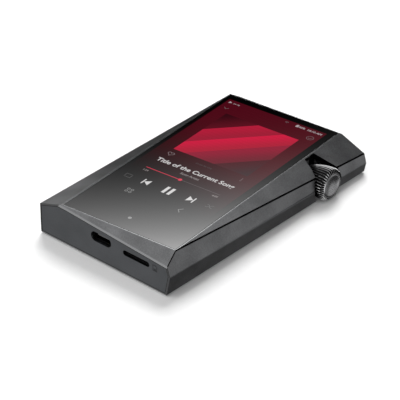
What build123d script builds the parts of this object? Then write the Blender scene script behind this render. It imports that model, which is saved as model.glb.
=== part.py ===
from build123d import *

import math
import os

# Digital audio player, millimetres. X to the player's right, Y towards its top end, Z out of the
# screen. The origin is on the rear cover's face, under the middle of the case.

# ---- Case -----------------------------------------------------------------------------------
CASE_HALF_LENGTH = 54.15
CASE_LEFT = -31.0
CASE_BACK = 0.4
WALL = 1.6
EDGE_BEVEL = 0.16
RIDGE_BEVEL = 0.05
END_BEVEL = 0.2
END_LEAN = 0.45
CUT_REACH = 40

# Corners of the faceted case, named by the end they are on.
RIDGE_BOTTOM = (31.0, -CASE_HALF_LENGTH, 8.6)
RIDGE_TOP = (31.0, CASE_HALF_LENGTH, 4.6)
FOOT_BOTTOM = (29.3, -CASE_HALF_LENGTH, CASE_BACK)
SHOULDER_BOTTOM_LEFT = (CASE_LEFT, -CASE_HALF_LENGTH, 12.4)
SHOULDER_BOTTOM_RIGHT = (29.9, -CASE_HALF_LENGTH, 12.4)
SHOULDER_TOP_RIGHT = (30.05, CASE_HALF_LENGTH, 8.2)
SHOULDER_TOP_LEFT = (CASE_LEFT, CASE_HALF_LENGTH, 8.9)
BODY_MIDDLE = Vector(0, 0, 6)

# ---- Screen: a rectangle turned in the case and sloping down to the top end -------------------
SCREEN_CENTRE = (-1.0, -0.1, 14.35)
SCREEN_TURN = 5.8
SCREEN_SLOPE = 1.9
SCREEN_HALF_WIDTH = 24.75
SCREEN_HALF_LENGTH = 51.25
GLASS_RIM = 0.35
GLASS_GAP = 0.18
GLASS_THICKNESS = 0.7
GLUE_THICKNESS = 0.15
WINDOW_HALF_WIDTH = 23.3
WINDOW_BOTTOM = -46.0
WINDOW_TOP = 49.0
FRONT_WALL = 2.1
TOUCH_THICKNESS = 0.25
PANEL_HALF_WIDTH = 23.1
PANEL_BOTTOM = -36.0
PANEL_TOP = 48.6
PANEL_THICKNESS = 1.35
TRAY_THICKNESS = 0.45
TRAY_BOTTOM = -33.0
FLEX_ACROSS = -7.0

# ---- Rear cover and the cavity it closes ------------------------------------------------------
REAR_COVER_THICKNESS = 1.2
REAR_LEFT = -29.4
REAR_RIGHT = 27.9
REAR_HALF_LENGTH = 51.6
REAR_CORNER = 1.5
REAR_GAP = 0.1
REAR_LEDGE = 1.0
LEDGE_Z = 1.4
LIP_HEIGHT = 0.6
NOTCH_LEFT = 22.4
NOTCH_NEAR = 23.6
NOTCH_FAR = 40.6

# ---- End plates ---------------------------------------------------------------------------------
PLATE_RIM = 0.55
PLATE_FRONT_RIM = 1.15
PLATE_GAP = 0.22
PLATE_THICKNESS = 1.25
PLATE_SETBACK = 0.08
PLATE_OUTER_Y = CASE_HALF_LENGTH - PLATE_SETBACK
PLATE_INNER_Y = PLATE_OUTER_Y - PLATE_THICKNESS

# ---- Volume wheel ---------------------------------------------------------------------------------
WHEEL_Y = 31.0
WHEEL_Z = 6.42
WHEEL_INNER_X = 22.0
# Bell-shaped outline of the wheel as (x, radius), from its inner end to its face.
WHEEL_PROFILE = [
    (WHEEL_INNER_X, 4.05),
    (24.0, 4.8),
    (26.0, 5.4),
    (28.0, 5.9),
    (30.0, 6.2),
    (31.2, 6.3),
    (32.35, 6.2),
    (33.1, 4.95),
]
WHEEL_TEETH = 36
KNURL_DEPTH = 0.075
CAP_RADIUS = 4.5
CAP_BACK_X = 32.2
CAP_FRONT_X = 33.3
DISH_RADIUS = 3.95
DISH_DEPTH = 0.75
SHAFT_RADIUS = 1.5
SHAFT_START_X = 15.6
SHAFT_END_X = 30.0
RUNNING_GAP = 0.04
FIXED_GAP = 0.02

POCKET_Y = 31.7
POCKET_Z = 5.85
POCKET_RADIUS = 7.6
POCKET_FLARE = 0.16
POCKET_MOUTH_X = 31.0
POCKET_REACH = 3.0
POCKET_INNER_X = 21.0
POCKET_FLOOR_Z = 1.95
POCKET_WALL = 1.0
POCKET_BACK_WALL = 1.3
CHUTE_Y = 32.5
CHUTE_HALF_INNER = 2.9
CHUTE_SPREAD = 0.33

ENCODER_SIDE = 7.3
ENCODER_START_X = 15.0
ENCODER_END_X = 19.3
BUSH_RADIUS = 2.4

# ---- Ports ----------------------------------------------------------------------------------------
USB_X = -1.2
USB_Z = 10.1
USB_WIDTH = 9.0
USB_HEIGHT = 3.2
USB_SHELL = 0.25
USB_DEPTH = 7.6
USB_REAR = 0.5
TONGUE_HEIGHT = 0.7
CONTACT_HEIGHT = 0.07
USB_HOLE_WIDTH = 9.6
USB_HOLE_HEIGHT = 3.9
CARD_X = 15.4
CARD_Z = 9.5
CARD_WIDTH = 12.3
CARD_HEIGHT = 2.1
CARD_DEPTH = 15.0
JACK_Z = 5.1
JACK_BODY_HEIGHT = 6.0
JACK_RING_WALL = 0.75
# name: (centre x, bore radius, housing width, housing depth)
JACKS = {
    "jack_35": (-20.5, 1.8, 6.4, 12.5),
    "jack_25": (-12.0, 1.3, 5.4, 11.0),
    "jack_44": (-2.8, 2.25, 7.8, 15.5),
}

# ---- Buttons --------------------------------------------------------------------------------------
BUTTON_TRAVEL = 0.35
BUTTON_PROUD = 0.3
BUTTON_GAP = 0.12
FLANGE_THICKNESS = 0.4
FLANGE_LIP = 0.5
SIDE_BUTTON_HEIGHT = 2.4
SIDE_BUTTON_Z = 6.3
# name: (centre y, length along y)
SIDE_BUTTONS = {
    "next_button": (33.5, 6.5),
    "play_button": (23.5, 8.5),
    "previous_button": (13.5, 6.5),
}
POWER_X = 17.5
POWER_WIDTH = 8.5
POWER_HEIGHT = 2.4

# ---- Inside ---------------------------------------------------------------------------------------
CAVITY_LEFT = REAR_LEFT + REAR_LEDGE
CAVITY_RIGHT = REAR_RIGHT - REAR_LEDGE
SIDE_FLANGE_X = CAVITY_LEFT - 0.95
DOME_X = CAVITY_LEFT + 0.1
DOME_HEIGHT = 0.15
KEY_BEVEL = 0.15
BATTERY = (-24.6, 21.4, -38.0, 22.0, 1.75, 6.1)
TAPE_THICKNESS = 0.15
LEAD_X = -27.2
LEAD_Y = BATTERY[2] - 3.2
LEAD_WIDTH = 2.4
PLUG_STEP_X = -22.3
PLUG_STEP_Z = 8.7
MIDPLATE_BOTTOM = 6.4
MIDPLATE_TOP = 6.9
SHEET = 0.2
BOARD_BOTTOM = 7.5
BOARD_TOP = 8.3
BOARD_LEFT = -24.0
BOARD_RIGHT = 22.5
BOARD_START = -51.5
BOARD_END = 34.0
ENCODER_BAY_X = 13.6
ENCODER_BAY_Y = 23.5
JACK_BOARD_TOP = JACK_Z - JACK_BODY_HEIGHT / 2
JACK_BOARD_THICKNESS = 0.6
FRAME_SCREW_XY = [(-26.3, -46.0), (-26.3, -8.0), (24.8, -46.0), (24.8, -8.0), (24.8, 17.0)]
BOARD_SCREW_XY = [(-21.0, -30.0), (-21.0, 20.0), (19.5, -30.0), (9.0, 30.0)]
BOSS_HALF = 1.75
BOSS_TOP = 9.4
SCREW_RADIUS = 0.7
SCREW_HEAD_RADIUS = 1.25
SCREW_HEAD = 0.5


def span(x0, x1, y0, y1, z0, z1):
    """Box between two corners."""
    centre = Pos((x0 + x1) / 2, (y0 + y1) / 2, (z0 + z1) / 2)
    return centre * Box(x1 - x0, y1 - y0, z1 - z0)


def round_x(x0, x1, y, z, radius):
    """Cylinder along X."""
    return Pos((x0 + x1) / 2, y, z) * Rot(0, 90, 0) * Cylinder(radius, x1 - x0)


def round_y(x, y0, y1, z, radius):
    """Cylinder along Y."""
    return Pos(x, (y0 + y1) / 2, z) * Rot(90, 0, 0) * Cylinder(radius, y1 - y0)


def round_z(x, y, z0, z1, radius):
    """Cylinder along Z."""
    return Pos(x, y, (z0 + z1) / 2) * Cylinder(radius, z1 - z0)


def slot_y(x, y0, y1, z, width, height):
    """Bar along Y with a round-ended section, width along X."""
    reach = (width - height) / 2
    radius = height / 2
    middle = span(x - reach, x + reach, y0, y1, z - radius, z + radius)
    left = round_y(x - reach, y0, y1, z, radius)
    right = round_y(x + reach, y0, y1, z, radius)
    return middle + left + right


def slot_x(x0, x1, y, z, length, height):
    """Bar along X with a round-ended section, length along Y."""
    reach = (length - height) / 2
    radius = height / 2
    middle = span(x0, x1, y - reach, y + reach, z - radius, z + radius)
    near = round_x(x0, x1, y - reach, z, radius)
    far = round_x(x0, x1, y + reach, z, radius)
    return middle + near + far


def screen_plane():
    """Plane of the glass face: local X across the screen, local Y towards its top, Z outwards."""
    turn = math.radians(SCREEN_TURN)
    slope = math.radians(SCREEN_SLOPE)
    across = Vector(math.cos(turn), math.sin(turn), 0)
    along = Vector(-math.sin(turn) * math.cos(slope), math.cos(turn) * math.cos(slope), -math.sin(slope))
    return Plane(origin=SCREEN_CENTRE, x_dir=across, z_dir=across.cross(along))


SCREEN = screen_plane()


def screen_point(across, along):
    """Point of the glass face."""
    return SCREEN.from_local_coords(Vector(across, along, 0))


def slab(half_width, bottom, top, upper, lower):
    """Flat block parallel to the glass, between two depths below its face."""
    middle = (bottom + top) / 2
    block = Pos(0, middle, -(upper + lower) / 2) * Box(2 * half_width, top - bottom, lower - upper)
    return SCREEN * block


GLASS_BOTTOM_LEFT = screen_point(-SCREEN_HALF_WIDTH, -SCREEN_HALF_LENGTH)
GLASS_BOTTOM_RIGHT = screen_point(SCREEN_HALF_WIDTH, -SCREEN_HALF_LENGTH)
GLASS_TOP_RIGHT = screen_point(SCREEN_HALF_WIDTH, SCREEN_HALF_LENGTH)
GLASS_TOP_LEFT = screen_point(-SCREEN_HALF_WIDTH, SCREEN_HALF_LENGTH)


def facet(a, b, c):
    """Plane through three points, its Z direction pointing out of the case."""
    start = Vector(*a)
    normal = (Vector(*b) - start).cross(Vector(*c) - start).normalized()
    if normal.dot(start - BODY_MIDDLE) < 0:
        normal = normal * -1
    return Plane(origin=start, z_dir=normal)


def flat(point, direction):
    """Plane through a point, facing a direction."""
    return Plane(origin=point, z_dir=direction)


FRONT = facet(GLASS_BOTTOM_LEFT, GLASS_BOTTOM_RIGHT, GLASS_TOP_RIGHT)
LEFT_WEDGE = facet(GLASS_TOP_LEFT, GLASS_BOTTOM_LEFT, SHOULDER_BOTTOM_LEFT)
BOTTOM_WEDGE = facet(GLASS_BOTTOM_LEFT, GLASS_BOTTOM_RIGHT, SHOULDER_BOTTOM_RIGHT)
RIGHT_WEDGE = facet(GLASS_BOTTOM_RIGHT, GLASS_TOP_RIGHT, SHOULDER_TOP_RIGHT)
TOP_WEDGE = facet(GLASS_TOP_RIGHT, GLASS_TOP_LEFT, SHOULDER_TOP_LEFT)
UPPER_SIDE = facet(RIDGE_BOTTOM, RIDGE_TOP, GLASS_BOTTOM_RIGHT)
LOWER_SIDE = facet(RIDGE_BOTTOM, RIDGE_TOP, FOOT_BOTTOM)
LEFT_SIDE = flat((CASE_LEFT, 0, 0), (-1, 0, 0))
BACK = flat((0, 0, CASE_BACK), (0, 0, -1))
BOTTOM_END = flat((0, -CASE_HALF_LENGTH, 0), (0, -1, 0))
TOP_END = flat((0, CASE_HALF_LENGTH, 0), (0, 1, 0))

AROUND = [LEFT_WEDGE, BOTTOM_WEDGE, RIGHT_WEDGE, TOP_WEDGE, UPPER_SIDE, LOWER_SIDE, LEFT_SIDE]


def trim(solid, plane, inset):
    """Cut away what lies outside a plane moved inwards."""
    cut = Plane(origin=plane.origin - plane.z_dir * inset, x_dir=plane.x_dir, z_dir=plane.z_dir)
    return split(solid, bisect_by=cut, keep=Keep.BOTTOM)


def bevel_plane(first, second, corner, lean):
    """Plane that touches the edge between two facets at a corner, leaning towards the second."""
    return Plane(origin=corner, z_dir=(first.z_dir + second.z_dir * lean).normalized())


def faceted_form(inset, front_inset, y0, y1, z0):
    """The case's outer form moved inwards, between two ends."""
    form = span(-CUT_REACH, CUT_REACH, y0, y1, z0, CUT_REACH)
    for plane in AROUND:
        form = trim(form, plane, inset)
    return trim(form, FRONT, front_inset)


def case_block():
    """Solid outer form of the case with its fine bevels."""
    form = faceted_form(0, 0, -CASE_HALF_LENGTH, CASE_HALF_LENGTH, CASE_BACK)
    long_edges = [
        (RIGHT_WEDGE, UPPER_SIDE, GLASS_BOTTOM_RIGHT, EDGE_BEVEL),
        (BOTTOM_WEDGE, UPPER_SIDE, GLASS_BOTTOM_RIGHT, EDGE_BEVEL),
        (UPPER_SIDE, LOWER_SIDE, RIDGE_BOTTOM, RIDGE_BEVEL),
        (LEFT_WEDGE, LEFT_SIDE, SHOULDER_BOTTOM_LEFT, EDGE_BEVEL),
        (TOP_WEDGE, LEFT_SIDE, SHOULDER_TOP_LEFT, EDGE_BEVEL),
        (BACK, LOWER_SIDE, FOOT_BOTTOM, EDGE_BEVEL),
        (BACK, LEFT_SIDE, (CASE_LEFT, 0, CASE_BACK), EDGE_BEVEL),
    ]
    for first, second, corner, depth in long_edges:
        form = trim(form, bevel_plane(first, second, corner, 1), depth)
    end_edges = [
        (BOTTOM_END, LEFT_SIDE, SHOULDER_BOTTOM_LEFT),
        (BOTTOM_END, LEFT_WEDGE, SHOULDER_BOTTOM_LEFT),
        (BOTTOM_END, BOTTOM_WEDGE, SHOULDER_BOTTOM_RIGHT),
        (BOTTOM_END, UPPER_SIDE, RIDGE_BOTTOM),
        (BOTTOM_END, LOWER_SIDE, RIDGE_BOTTOM),
        (BOTTOM_END, BACK, FOOT_BOTTOM),
        (TOP_END, LEFT_SIDE, SHOULDER_TOP_LEFT),
        (TOP_END, TOP_WEDGE, SHOULDER_TOP_LEFT),
        (TOP_END, RIGHT_WEDGE, SHOULDER_TOP_RIGHT),
        (TOP_END, UPPER_SIDE, RIDGE_TOP),
        (TOP_END, LOWER_SIDE, RIDGE_TOP),
        (TOP_END, BACK, (0, CASE_HALF_LENGTH, CASE_BACK)),
    ]
    for first, second, corner in end_edges:
        form = trim(form, bevel_plane(first, second, corner, END_LEAN), END_BEVEL)
    return form


def rear_outline(gap, z0, z1):
    """Plan of the rear cover, extruded: a rectangle with a notch beside the wheel."""
    width = REAR_RIGHT - REAR_LEFT - 2 * gap
    length = 2 * (REAR_HALF_LENGTH - gap)
    plan = Pos((REAR_LEFT + REAR_RIGHT) / 2, 0, z0) * RectangleRounded(width, length, REAR_CORNER)
    plate = extrude(plan, z1 - z0, dir=(0, 0, 1))
    notch = span(NOTCH_LEFT - gap, CUT_REACH, NOTCH_NEAR - gap, NOTCH_FAR + gap, z0 - 1, z1 + 1)
    return plate - notch


def pocket(grow, inner_x):
    """Space around the wheel: a cone that opens at the side, and a chute up through the wedge."""
    mouth_x = POCKET_MOUTH_X + POCKET_REACH
    mouth_radius = POCKET_RADIUS + POCKET_FLARE * POCKET_REACH + grow
    inner_radius = POCKET_RADIUS - POCKET_FLARE * (POCKET_MOUTH_X - inner_x) + grow
    cone = Rot(0, 90, 0) * Cone(inner_radius, mouth_radius, mouth_x - inner_x)
    cone = Pos((inner_x + mouth_x) / 2, POCKET_Y, POCKET_Z) * cone
    lean = math.tan(math.radians(SCREEN_TURN))
    inner_half = CHUTE_HALF_INNER + grow
    outer_half = inner_half + CHUTE_SPREAD * (mouth_x - inner_x)
    with BuildSketch(Plane.XY.offset(POCKET_Z)) as plan:
        with BuildLine():
            Polyline(
                (inner_x + lean * inner_half, CHUTE_Y - inner_half),
                (inner_x - lean * inner_half, CHUTE_Y + inner_half),
                (mouth_x, CHUTE_Y + outer_half),
                (mouth_x, CHUTE_Y - outer_half),
                close=True,
            )
        make_face()
    return cone + extrude(plan.sketch, 14, dir=(0, 0, 1))


def wheel_pocket():
    """Pocket as cut: it keeps a floor over the rear cover."""
    floor = span(10, NOTCH_LEFT + 0.3, 20, 45, -5, POCKET_FLOOR_Z)
    return pocket(0, POCKET_INNER_X) - floor


def pocket_lining():
    """Metal left around the pocket inside the case."""
    lining = pocket(POCKET_WALL, POCKET_INNER_X - POCKET_BACK_WALL)
    return lining & faceted_form(WALL / 2, FRONT_WALL / 2, 20, 45, LEDGE_Z)


def cavity():
    """Inside of the case, open at the back and at both ends."""
    room = faceted_form(WALL, FRONT_WALL, -CASE_HALF_LENGTH, CASE_HALF_LENGTH, LEDGE_Z)
    sides = span(CAVITY_LEFT, CAVITY_RIGHT, -60, 60, LEDGE_Z, 30)
    room = room & sides
    lip_y = REAR_HALF_LENGTH - REAR_LEDGE
    near_lip = span(-CUT_REACH, CUT_REACH, -60, -lip_y, LEDGE_Z - 1, LEDGE_Z + LIP_HEIGHT)
    far_lip = span(-CUT_REACH, CUT_REACH, lip_y, 60, LEDGE_Z - 1, LEDGE_Z + LIP_HEIGHT)
    tab_start = NOTCH_NEAR - REAR_LEDGE
    tab_end = NOTCH_FAR + REAR_LEDGE
    tab = span(NOTCH_LEFT - REAR_LEDGE, CUT_REACH, tab_start, tab_end, 0, POCKET_FLOOR_Z)
    return room - near_lip - far_lip - tab


def plate_form(gap, y0, y1):
    """Outline of an end plate between two depths."""
    return faceted_form(PLATE_RIM + gap, PLATE_FRONT_RIM + gap, y0, y1, CASE_BACK + PLATE_RIM + gap)


def screw_bosses():
    """Blocks on the cavity walls that take the frame screws."""
    bosses = []
    for x, y in FRAME_SCREW_XY:
        wall_x = CAVITY_LEFT - 0.5 if x < 0 else CAVITY_RIGHT + 0.5
        inner_x = x + BOSS_HALF if x < 0 else x - BOSS_HALF
        low, high = sorted((wall_x, inner_x))
        bosses.append(span(low, high, y - BOSS_HALF, y + BOSS_HALF, MIDPLATE_TOP, BOSS_TOP))
    return bosses


def side_button_hole(y, length):
    """Slot through the left wall with a step for the button's flange."""
    hole_length = length + 2 * BUTTON_GAP
    hole_height = SIDE_BUTTON_HEIGHT + 2 * BUTTON_GAP
    inner_x = CAVITY_LEFT + 1
    through = slot_x(-CUT_REACH, inner_x, y, SIDE_BUTTON_Z, hole_length, hole_height)
    step_length = hole_length + 2 * FLANGE_LIP
    step_height = hole_height + 2 * FLANGE_LIP
    return through + slot_x(SIDE_FLANGE_X, inner_x, y, SIDE_BUTTON_Z, step_length, step_height)


def case_frame():
    """One milled frame: front, sides, ledges, wheel pocket and bosses."""
    frame = case_block() - cavity()
    frame += pocket_lining()
    for boss in screw_bosses():
        frame += boss
    seat_width = SCREEN_HALF_WIDTH - GLASS_RIM
    seat_length = SCREEN_HALF_LENGTH - GLASS_RIM
    frame -= slab(seat_width, -seat_length, seat_length, -1.0, GLASS_THICKNESS + GLUE_THICKNESS)
    frame -= slab(WINDOW_HALF_WIDTH, WINDOW_BOTTOM, WINDOW_TOP, 0, 3.2)
    frame -= wheel_pocket()
    frame -= rear_outline(0, CASE_BACK - 1, LEDGE_Z)
    for sign in (-1, 1):
        low, high = sorted((sign * PLATE_INNER_Y, sign * (CASE_HALF_LENGTH + 1)))
        frame -= plate_form(0, low, high)
    for y, length in SIDE_BUTTONS.values():
        frame -= side_button_hole(y, length)
    bush_hole = BUSH_RADIUS + FIXED_GAP
    frame -= round_x(POCKET_INNER_X - 3, POCKET_INNER_X + 1, WHEEL_Y, WHEEL_Z, bush_hole)
    for x, y in FRAME_SCREW_XY:
        frame -= round_z(x, y, MIDPLATE_TOP - 1, MIDPLATE_TOP + 2.2, SCREW_RADIUS + FIXED_GAP)
    return frame


def rear_cover():
    """Flat plate that stands a little proud of the frame."""
    plate = rear_outline(REAR_GAP, 0, REAR_COVER_THICKNESS)
    face_edges = plate.faces().sort_by(Axis.Z)[0].edges()
    return chamfer(face_edges, 0.25)


def rear_adhesive():
    """Ring of glue between the rear cover and its ledge."""
    ring = rear_outline(REAR_GAP + 0.15, REAR_COVER_THICKNESS, LEDGE_Z)
    hole = rear_outline(REAR_LEDGE, REAR_COVER_THICKNESS - 1, LEDGE_Z + 1)
    return ring - hole


def bottom_end_plate():
    """Plate with the charging and card openings."""
    plate = plate_form(PLATE_GAP, -PLATE_OUTER_Y, -PLATE_INNER_Y)
    plate -= slot_y(USB_X, -60, -50, USB_Z, USB_HOLE_WIDTH, USB_HOLE_HEIGHT)
    plate -= slot_y(CARD_X, -60, -50, CARD_Z, CARD_WIDTH, CARD_HEIGHT)
    return plate


def top_end_plate():
    """Plate with three jack openings and the power button's slot."""
    plate = plate_form(PLATE_GAP, PLATE_INNER_Y, PLATE_OUTER_Y)
    for x, radius, _, _ in JACKS.values():
        plate -= round_y(x, 50, 60, JACK_Z, radius + JACK_RING_WALL + FIXED_GAP)
    key_width = POWER_WIDTH + 2 * BUTTON_GAP
    key_height = POWER_HEIGHT + 2 * BUTTON_GAP
    return plate - slot_y(POWER_X, 50, 60, JACK_Z, key_width, key_height)


def cover_glass():
    """Glass pane flush with the case."""
    half_width = SCREEN_HALF_WIDTH - GLASS_RIM - GLASS_GAP
    half_length = SCREEN_HALF_LENGTH - GLASS_RIM - GLASS_GAP
    return slab(half_width, -half_length, half_length, 0, GLASS_THICKNESS)


def glass_adhesive():
    """Ring of glue under the glass."""
    half_width = SCREEN_HALF_WIDTH - GLASS_RIM - GLASS_GAP - 0.1
    half_length = SCREEN_HALF_LENGTH - GLASS_RIM - GLASS_GAP - 0.1
    lower = GLASS_THICKNESS + GLUE_THICKNESS
    ring = slab(half_width, -half_length, half_length, GLASS_THICKNESS, lower)
    return ring - slab(WINDOW_HALF_WIDTH + 0.1, WINDOW_BOTTOM - 0.1, WINDOW_TOP + 0.1, 0, 2)


def touch_sensor():
    """Film stuck under the glass."""
    top = GLASS_THICKNESS
    return slab(PANEL_HALF_WIDTH, WINDOW_BOTTOM + 0.2, WINDOW_TOP - 0.2, top, top + TOUCH_THICKNESS)


PANEL_DEPTH = GLASS_THICKNESS + TOUCH_THICKNESS
TRAY_DEPTH = PANEL_DEPTH + PANEL_THICKNESS


def display_panel():
    """Display panel under the touch film."""
    return slab(PANEL_HALF_WIDTH, PANEL_BOTTOM, PANEL_TOP, PANEL_DEPTH, TRAY_DEPTH)


def display_tray():
    """Thin sheet tray behind the panel."""
    rim = 0.6
    lower = TRAY_DEPTH + TRAY_THICKNESS
    return slab(PANEL_HALF_WIDTH - rim, TRAY_BOTTOM, PANEL_TOP - rim, TRAY_DEPTH, lower)


def display_flex():
    """Ribbon from the panel's lower edge down to the main board."""
    ribbon = 0.16
    half_width = 6.0
    middle = Pos(FLEX_ACROSS, -37.6, -TRAY_DEPTH - ribbon / 2)
    strip = middle * Box(2 * half_width + 3, 8.6, ribbon)
    bend = SCREEN.from_local_coords(Vector(FLEX_ACROSS, -41.0, -TRAY_DEPTH - ribbon / 2))
    left = bend.X - half_width
    right = bend.X + half_width
    drop = span(left, right, bend.Y, bend.Y + ribbon, BOARD_TOP, bend.Z)
    foot = span(left, right, bend.Y, bend.Y + 3.5, BOARD_TOP, BOARD_TOP + ribbon)
    return SCREEN * strip + drop + foot


def board_outline(x0, x1, y0, y1, z0, z1):
    """Rectangular plate with a bay for the encoder."""
    bay = span(ENCODER_BAY_X, CUT_REACH, ENCODER_BAY_Y, 60, z0 - 1, z1 + 1)
    return span(x0, x1, y0, y1, z0, z1) - bay


def mid_plate():
    """Steel plate between battery and main board, with standoffs for the board."""
    left = CAVITY_LEFT + 0.9
    right = CAVITY_RIGHT - 0.4
    plate = board_outline(left, right, BOARD_START, BOARD_END, MIDPLATE_BOTTOM, MIDPLATE_TOP)
    plate -= span(left - 1, LEAD_X + 0.6, LEAD_Y - 0.3, LEAD_Y + LEAD_WIDTH + 0.3, 0, 10)
    for x, y in BOARD_SCREW_XY:
        plate += round_z(x, y, MIDPLATE_BOTTOM, BOARD_BOTTOM, 1.5)
        plate -= round_z(x, y, MIDPLATE_BOTTOM - 1, BOARD_BOTTOM + 1, SCREW_RADIUS + FIXED_GAP)
    for x, y in FRAME_SCREW_XY:
        plate -= round_z(x, y, MIDPLATE_BOTTOM - 1, MIDPLATE_TOP + 1, SCREW_RADIUS + 0.1)
    return plate


def main_board():
    """Circuit board."""
    board = board_outline(BOARD_LEFT, BOARD_RIGHT, BOARD_START, BOARD_END, BOARD_BOTTOM, BOARD_TOP)
    for x, y in BOARD_SCREW_XY:
        board -= round_z(x, y, BOARD_BOTTOM - 1, BOARD_TOP + 1, SCREW_RADIUS + 0.1)
    return board


def shield_can(x0, x1, y0, y1, height):
    """Folded sheet lid, open below."""
    roof = BOARD_TOP + height
    outer = span(x0, x1, y0, y1, BOARD_TOP, roof)
    room = span(x0 + SHEET, x1 - SHEET, y0 + SHEET, y1 - SHEET, BOARD_TOP - 1, roof - SHEET)
    return outer - room


def board_chips():
    """Bare chips outside the shields, each a solid of its own."""
    chips = []
    for column in range(4):
        for row in range(2):
            x = -18.0 + 8.0 * column
            y = -26.0 + 6.0 * row
            chips.append(span(x, x + 4.0, y, y + 3.2, BOARD_TOP, BOARD_TOP + 0.7))
    return Compound(chips)


USB_FRONT_Y = -PLATE_INNER_Y + 0.05
USB_BACK_Y = USB_FRONT_Y + USB_DEPTH


def usb_c_shell():
    """Oval steel shell, closed at the back."""
    outer = slot_y(USB_X, USB_FRONT_Y, USB_BACK_Y, USB_Z, USB_WIDTH, USB_HEIGHT)
    width = USB_WIDTH - 2 * USB_SHELL
    height = USB_HEIGHT - 2 * USB_SHELL
    return outer - slot_y(USB_X, USB_FRONT_Y - 1, USB_BACK_Y - USB_REAR, USB_Z, width, height)


def usb_c_tongue():
    """Insulating tongue that carries the contacts."""
    half = TONGUE_HEIGHT / 2
    start_y = USB_FRONT_Y + 0.7
    return span(USB_X - 3.3, USB_X + 3.3, start_y, USB_BACK_Y - USB_REAR, USB_Z - half, USB_Z + half)


def usb_c_contacts():
    """Two rows of contact strips on the tongue."""
    strips = []
    half = TONGUE_HEIGHT / 2
    start_y = USB_FRONT_Y + 1.1
    end_y = USB_BACK_Y - USB_REAR
    for index in range(12):
        x = USB_X - 2.75 + 0.5 * index
        for z in (USB_Z + half, USB_Z - half - CONTACT_HEIGHT):
            strips.append(span(x - 0.12, x + 0.12, start_y, end_y, z, z + CONTACT_HEIGHT))
    return Compound(strips)


CARD_FRONT_Y = -PLATE_INNER_Y + 0.05
CARD_BACK_Y = CARD_FRONT_Y + CARD_DEPTH
CARD_FLOOR_Z = BOARD_TOP + 0.3
CARD_ROOF_Z = CARD_Z + CARD_HEIGHT / 2
CARD_LEFT = CARD_X - 6.9
CARD_RIGHT = CARD_X + 6.9
SLIDER_X = CARD_RIGHT - 1.15


def card_base():
    """Insulating floor and rear wall of the card reader."""
    floor = span(CARD_LEFT, CARD_RIGHT, CARD_FRONT_Y, CARD_BACK_Y, BOARD_TOP, CARD_FLOOR_Z)
    wall = span(CARD_LEFT, CARD_RIGHT, CARD_BACK_Y - 0.8, CARD_BACK_Y, BOARD_TOP, CARD_ROOF_Z - 0.2)
    return floor + wall


def card_shell():
    """Sheet cover of the card reader, open at the front."""
    left = CARD_LEFT - SHEET
    right = CARD_RIGHT + SHEET
    outer = span(left, right, CARD_FRONT_Y, CARD_BACK_Y + SHEET, BOARD_TOP, CARD_ROOF_Z)
    roof_z = CARD_ROOF_Z - SHEET
    room = span(CARD_LEFT, CARD_RIGHT, CARD_FRONT_Y - 1, CARD_BACK_Y, BOARD_TOP - 1, roof_z)
    return outer - room


def card_contacts():
    """Eight contact springs on the reader's floor."""
    strips = []
    start_y = CARD_BACK_Y - 5.5
    end_y = CARD_BACK_Y - 1.2
    for index in range(8):
        x = CARD_LEFT + 1.6 + 1.1 * index
        strips.append(span(x, x + 0.5, start_y, end_y, CARD_FLOOR_Z, CARD_FLOOR_Z + 0.15))
    return Compound(strips)


SLIDER_START = CARD_BACK_Y - 6.5
SLIDER_END = CARD_BACK_Y - 3.6


def card_slider():
    """Pusher that a card presses on."""
    low_z = CARD_FLOOR_Z + 0.1
    arm_z = CARD_FLOOR_Z + 0.35
    high_z = CARD_ROOF_Z - 0.4
    body = span(SLIDER_X - 0.7, SLIDER_X + 0.7, SLIDER_START, SLIDER_END, low_z, high_z)
    arm = span(SLIDER_X - 2.4, SLIDER_X, SLIDER_END - 0.9, SLIDER_END, arm_z, high_z)
    return body + arm


def card_spring():
    """Return spring behind the pusher, as stacked turns."""
    turns = 6
    pitch = (CARD_BACK_Y - 0.8 - SLIDER_END) / turns
    z = (CARD_FLOOR_Z + CARD_ROOF_Z - 0.3) / 2
    core = round_y(SLIDER_X, SLIDER_END, SLIDER_END + pitch * turns, z, 0.25)
    for index in range(turns):
        y = SLIDER_END + pitch * (index + 0.25)
        core += round_y(SLIDER_X, y, y + pitch / 2, z, 0.5)
    return core


def jack_housing(x, radius, width, depth):
    """Moulded socket with a blind bore."""
    end_y = PLATE_INNER_Y - 0.05
    half = width / 2
    roof_z = JACK_BOARD_TOP + JACK_BODY_HEIGHT
    body = span(x - half, x + half, end_y - depth, end_y, JACK_BOARD_TOP, roof_z)
    return body - round_y(x, end_y - depth + 1.0, end_y + 1, JACK_Z, radius)


def jack_ring(x, radius):
    """Metal ring in the end plate."""
    ring = round_y(x, PLATE_INNER_Y - 0.05, PLATE_OUTER_Y, JACK_Z, radius + JACK_RING_WALL)
    return ring - round_y(x, 50, 60, JACK_Z, radius)


def jack_board():
    """Small board under the sockets."""
    return span(-25.5, 3.0, 36.6, 50.2, JACK_BOARD_TOP - JACK_BOARD_THICKNESS, JACK_BOARD_TOP)


def side_button(y, length):
    """Key cap with a flange that keeps it in the wall."""
    flange_end = SIDE_FLANGE_X + FLANGE_THICKNESS
    outer_x = CASE_LEFT - BUTTON_PROUD
    cap = slot_x(outer_x, flange_end, y, SIDE_BUTTON_Z, length, SIDE_BUTTON_HEIGHT)
    outer_face = cap.faces().sort_by(Axis.X)[0]
    cap = chamfer(outer_face.edges(), KEY_BEVEL)
    flange_length = length + 2 * FLANGE_LIP
    flange_height = SIDE_BUTTON_HEIGHT + 2 * FLANGE_LIP
    return cap + slot_x(SIDE_FLANGE_X, flange_end, y, SIDE_BUTTON_Z, flange_length, flange_height)


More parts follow.
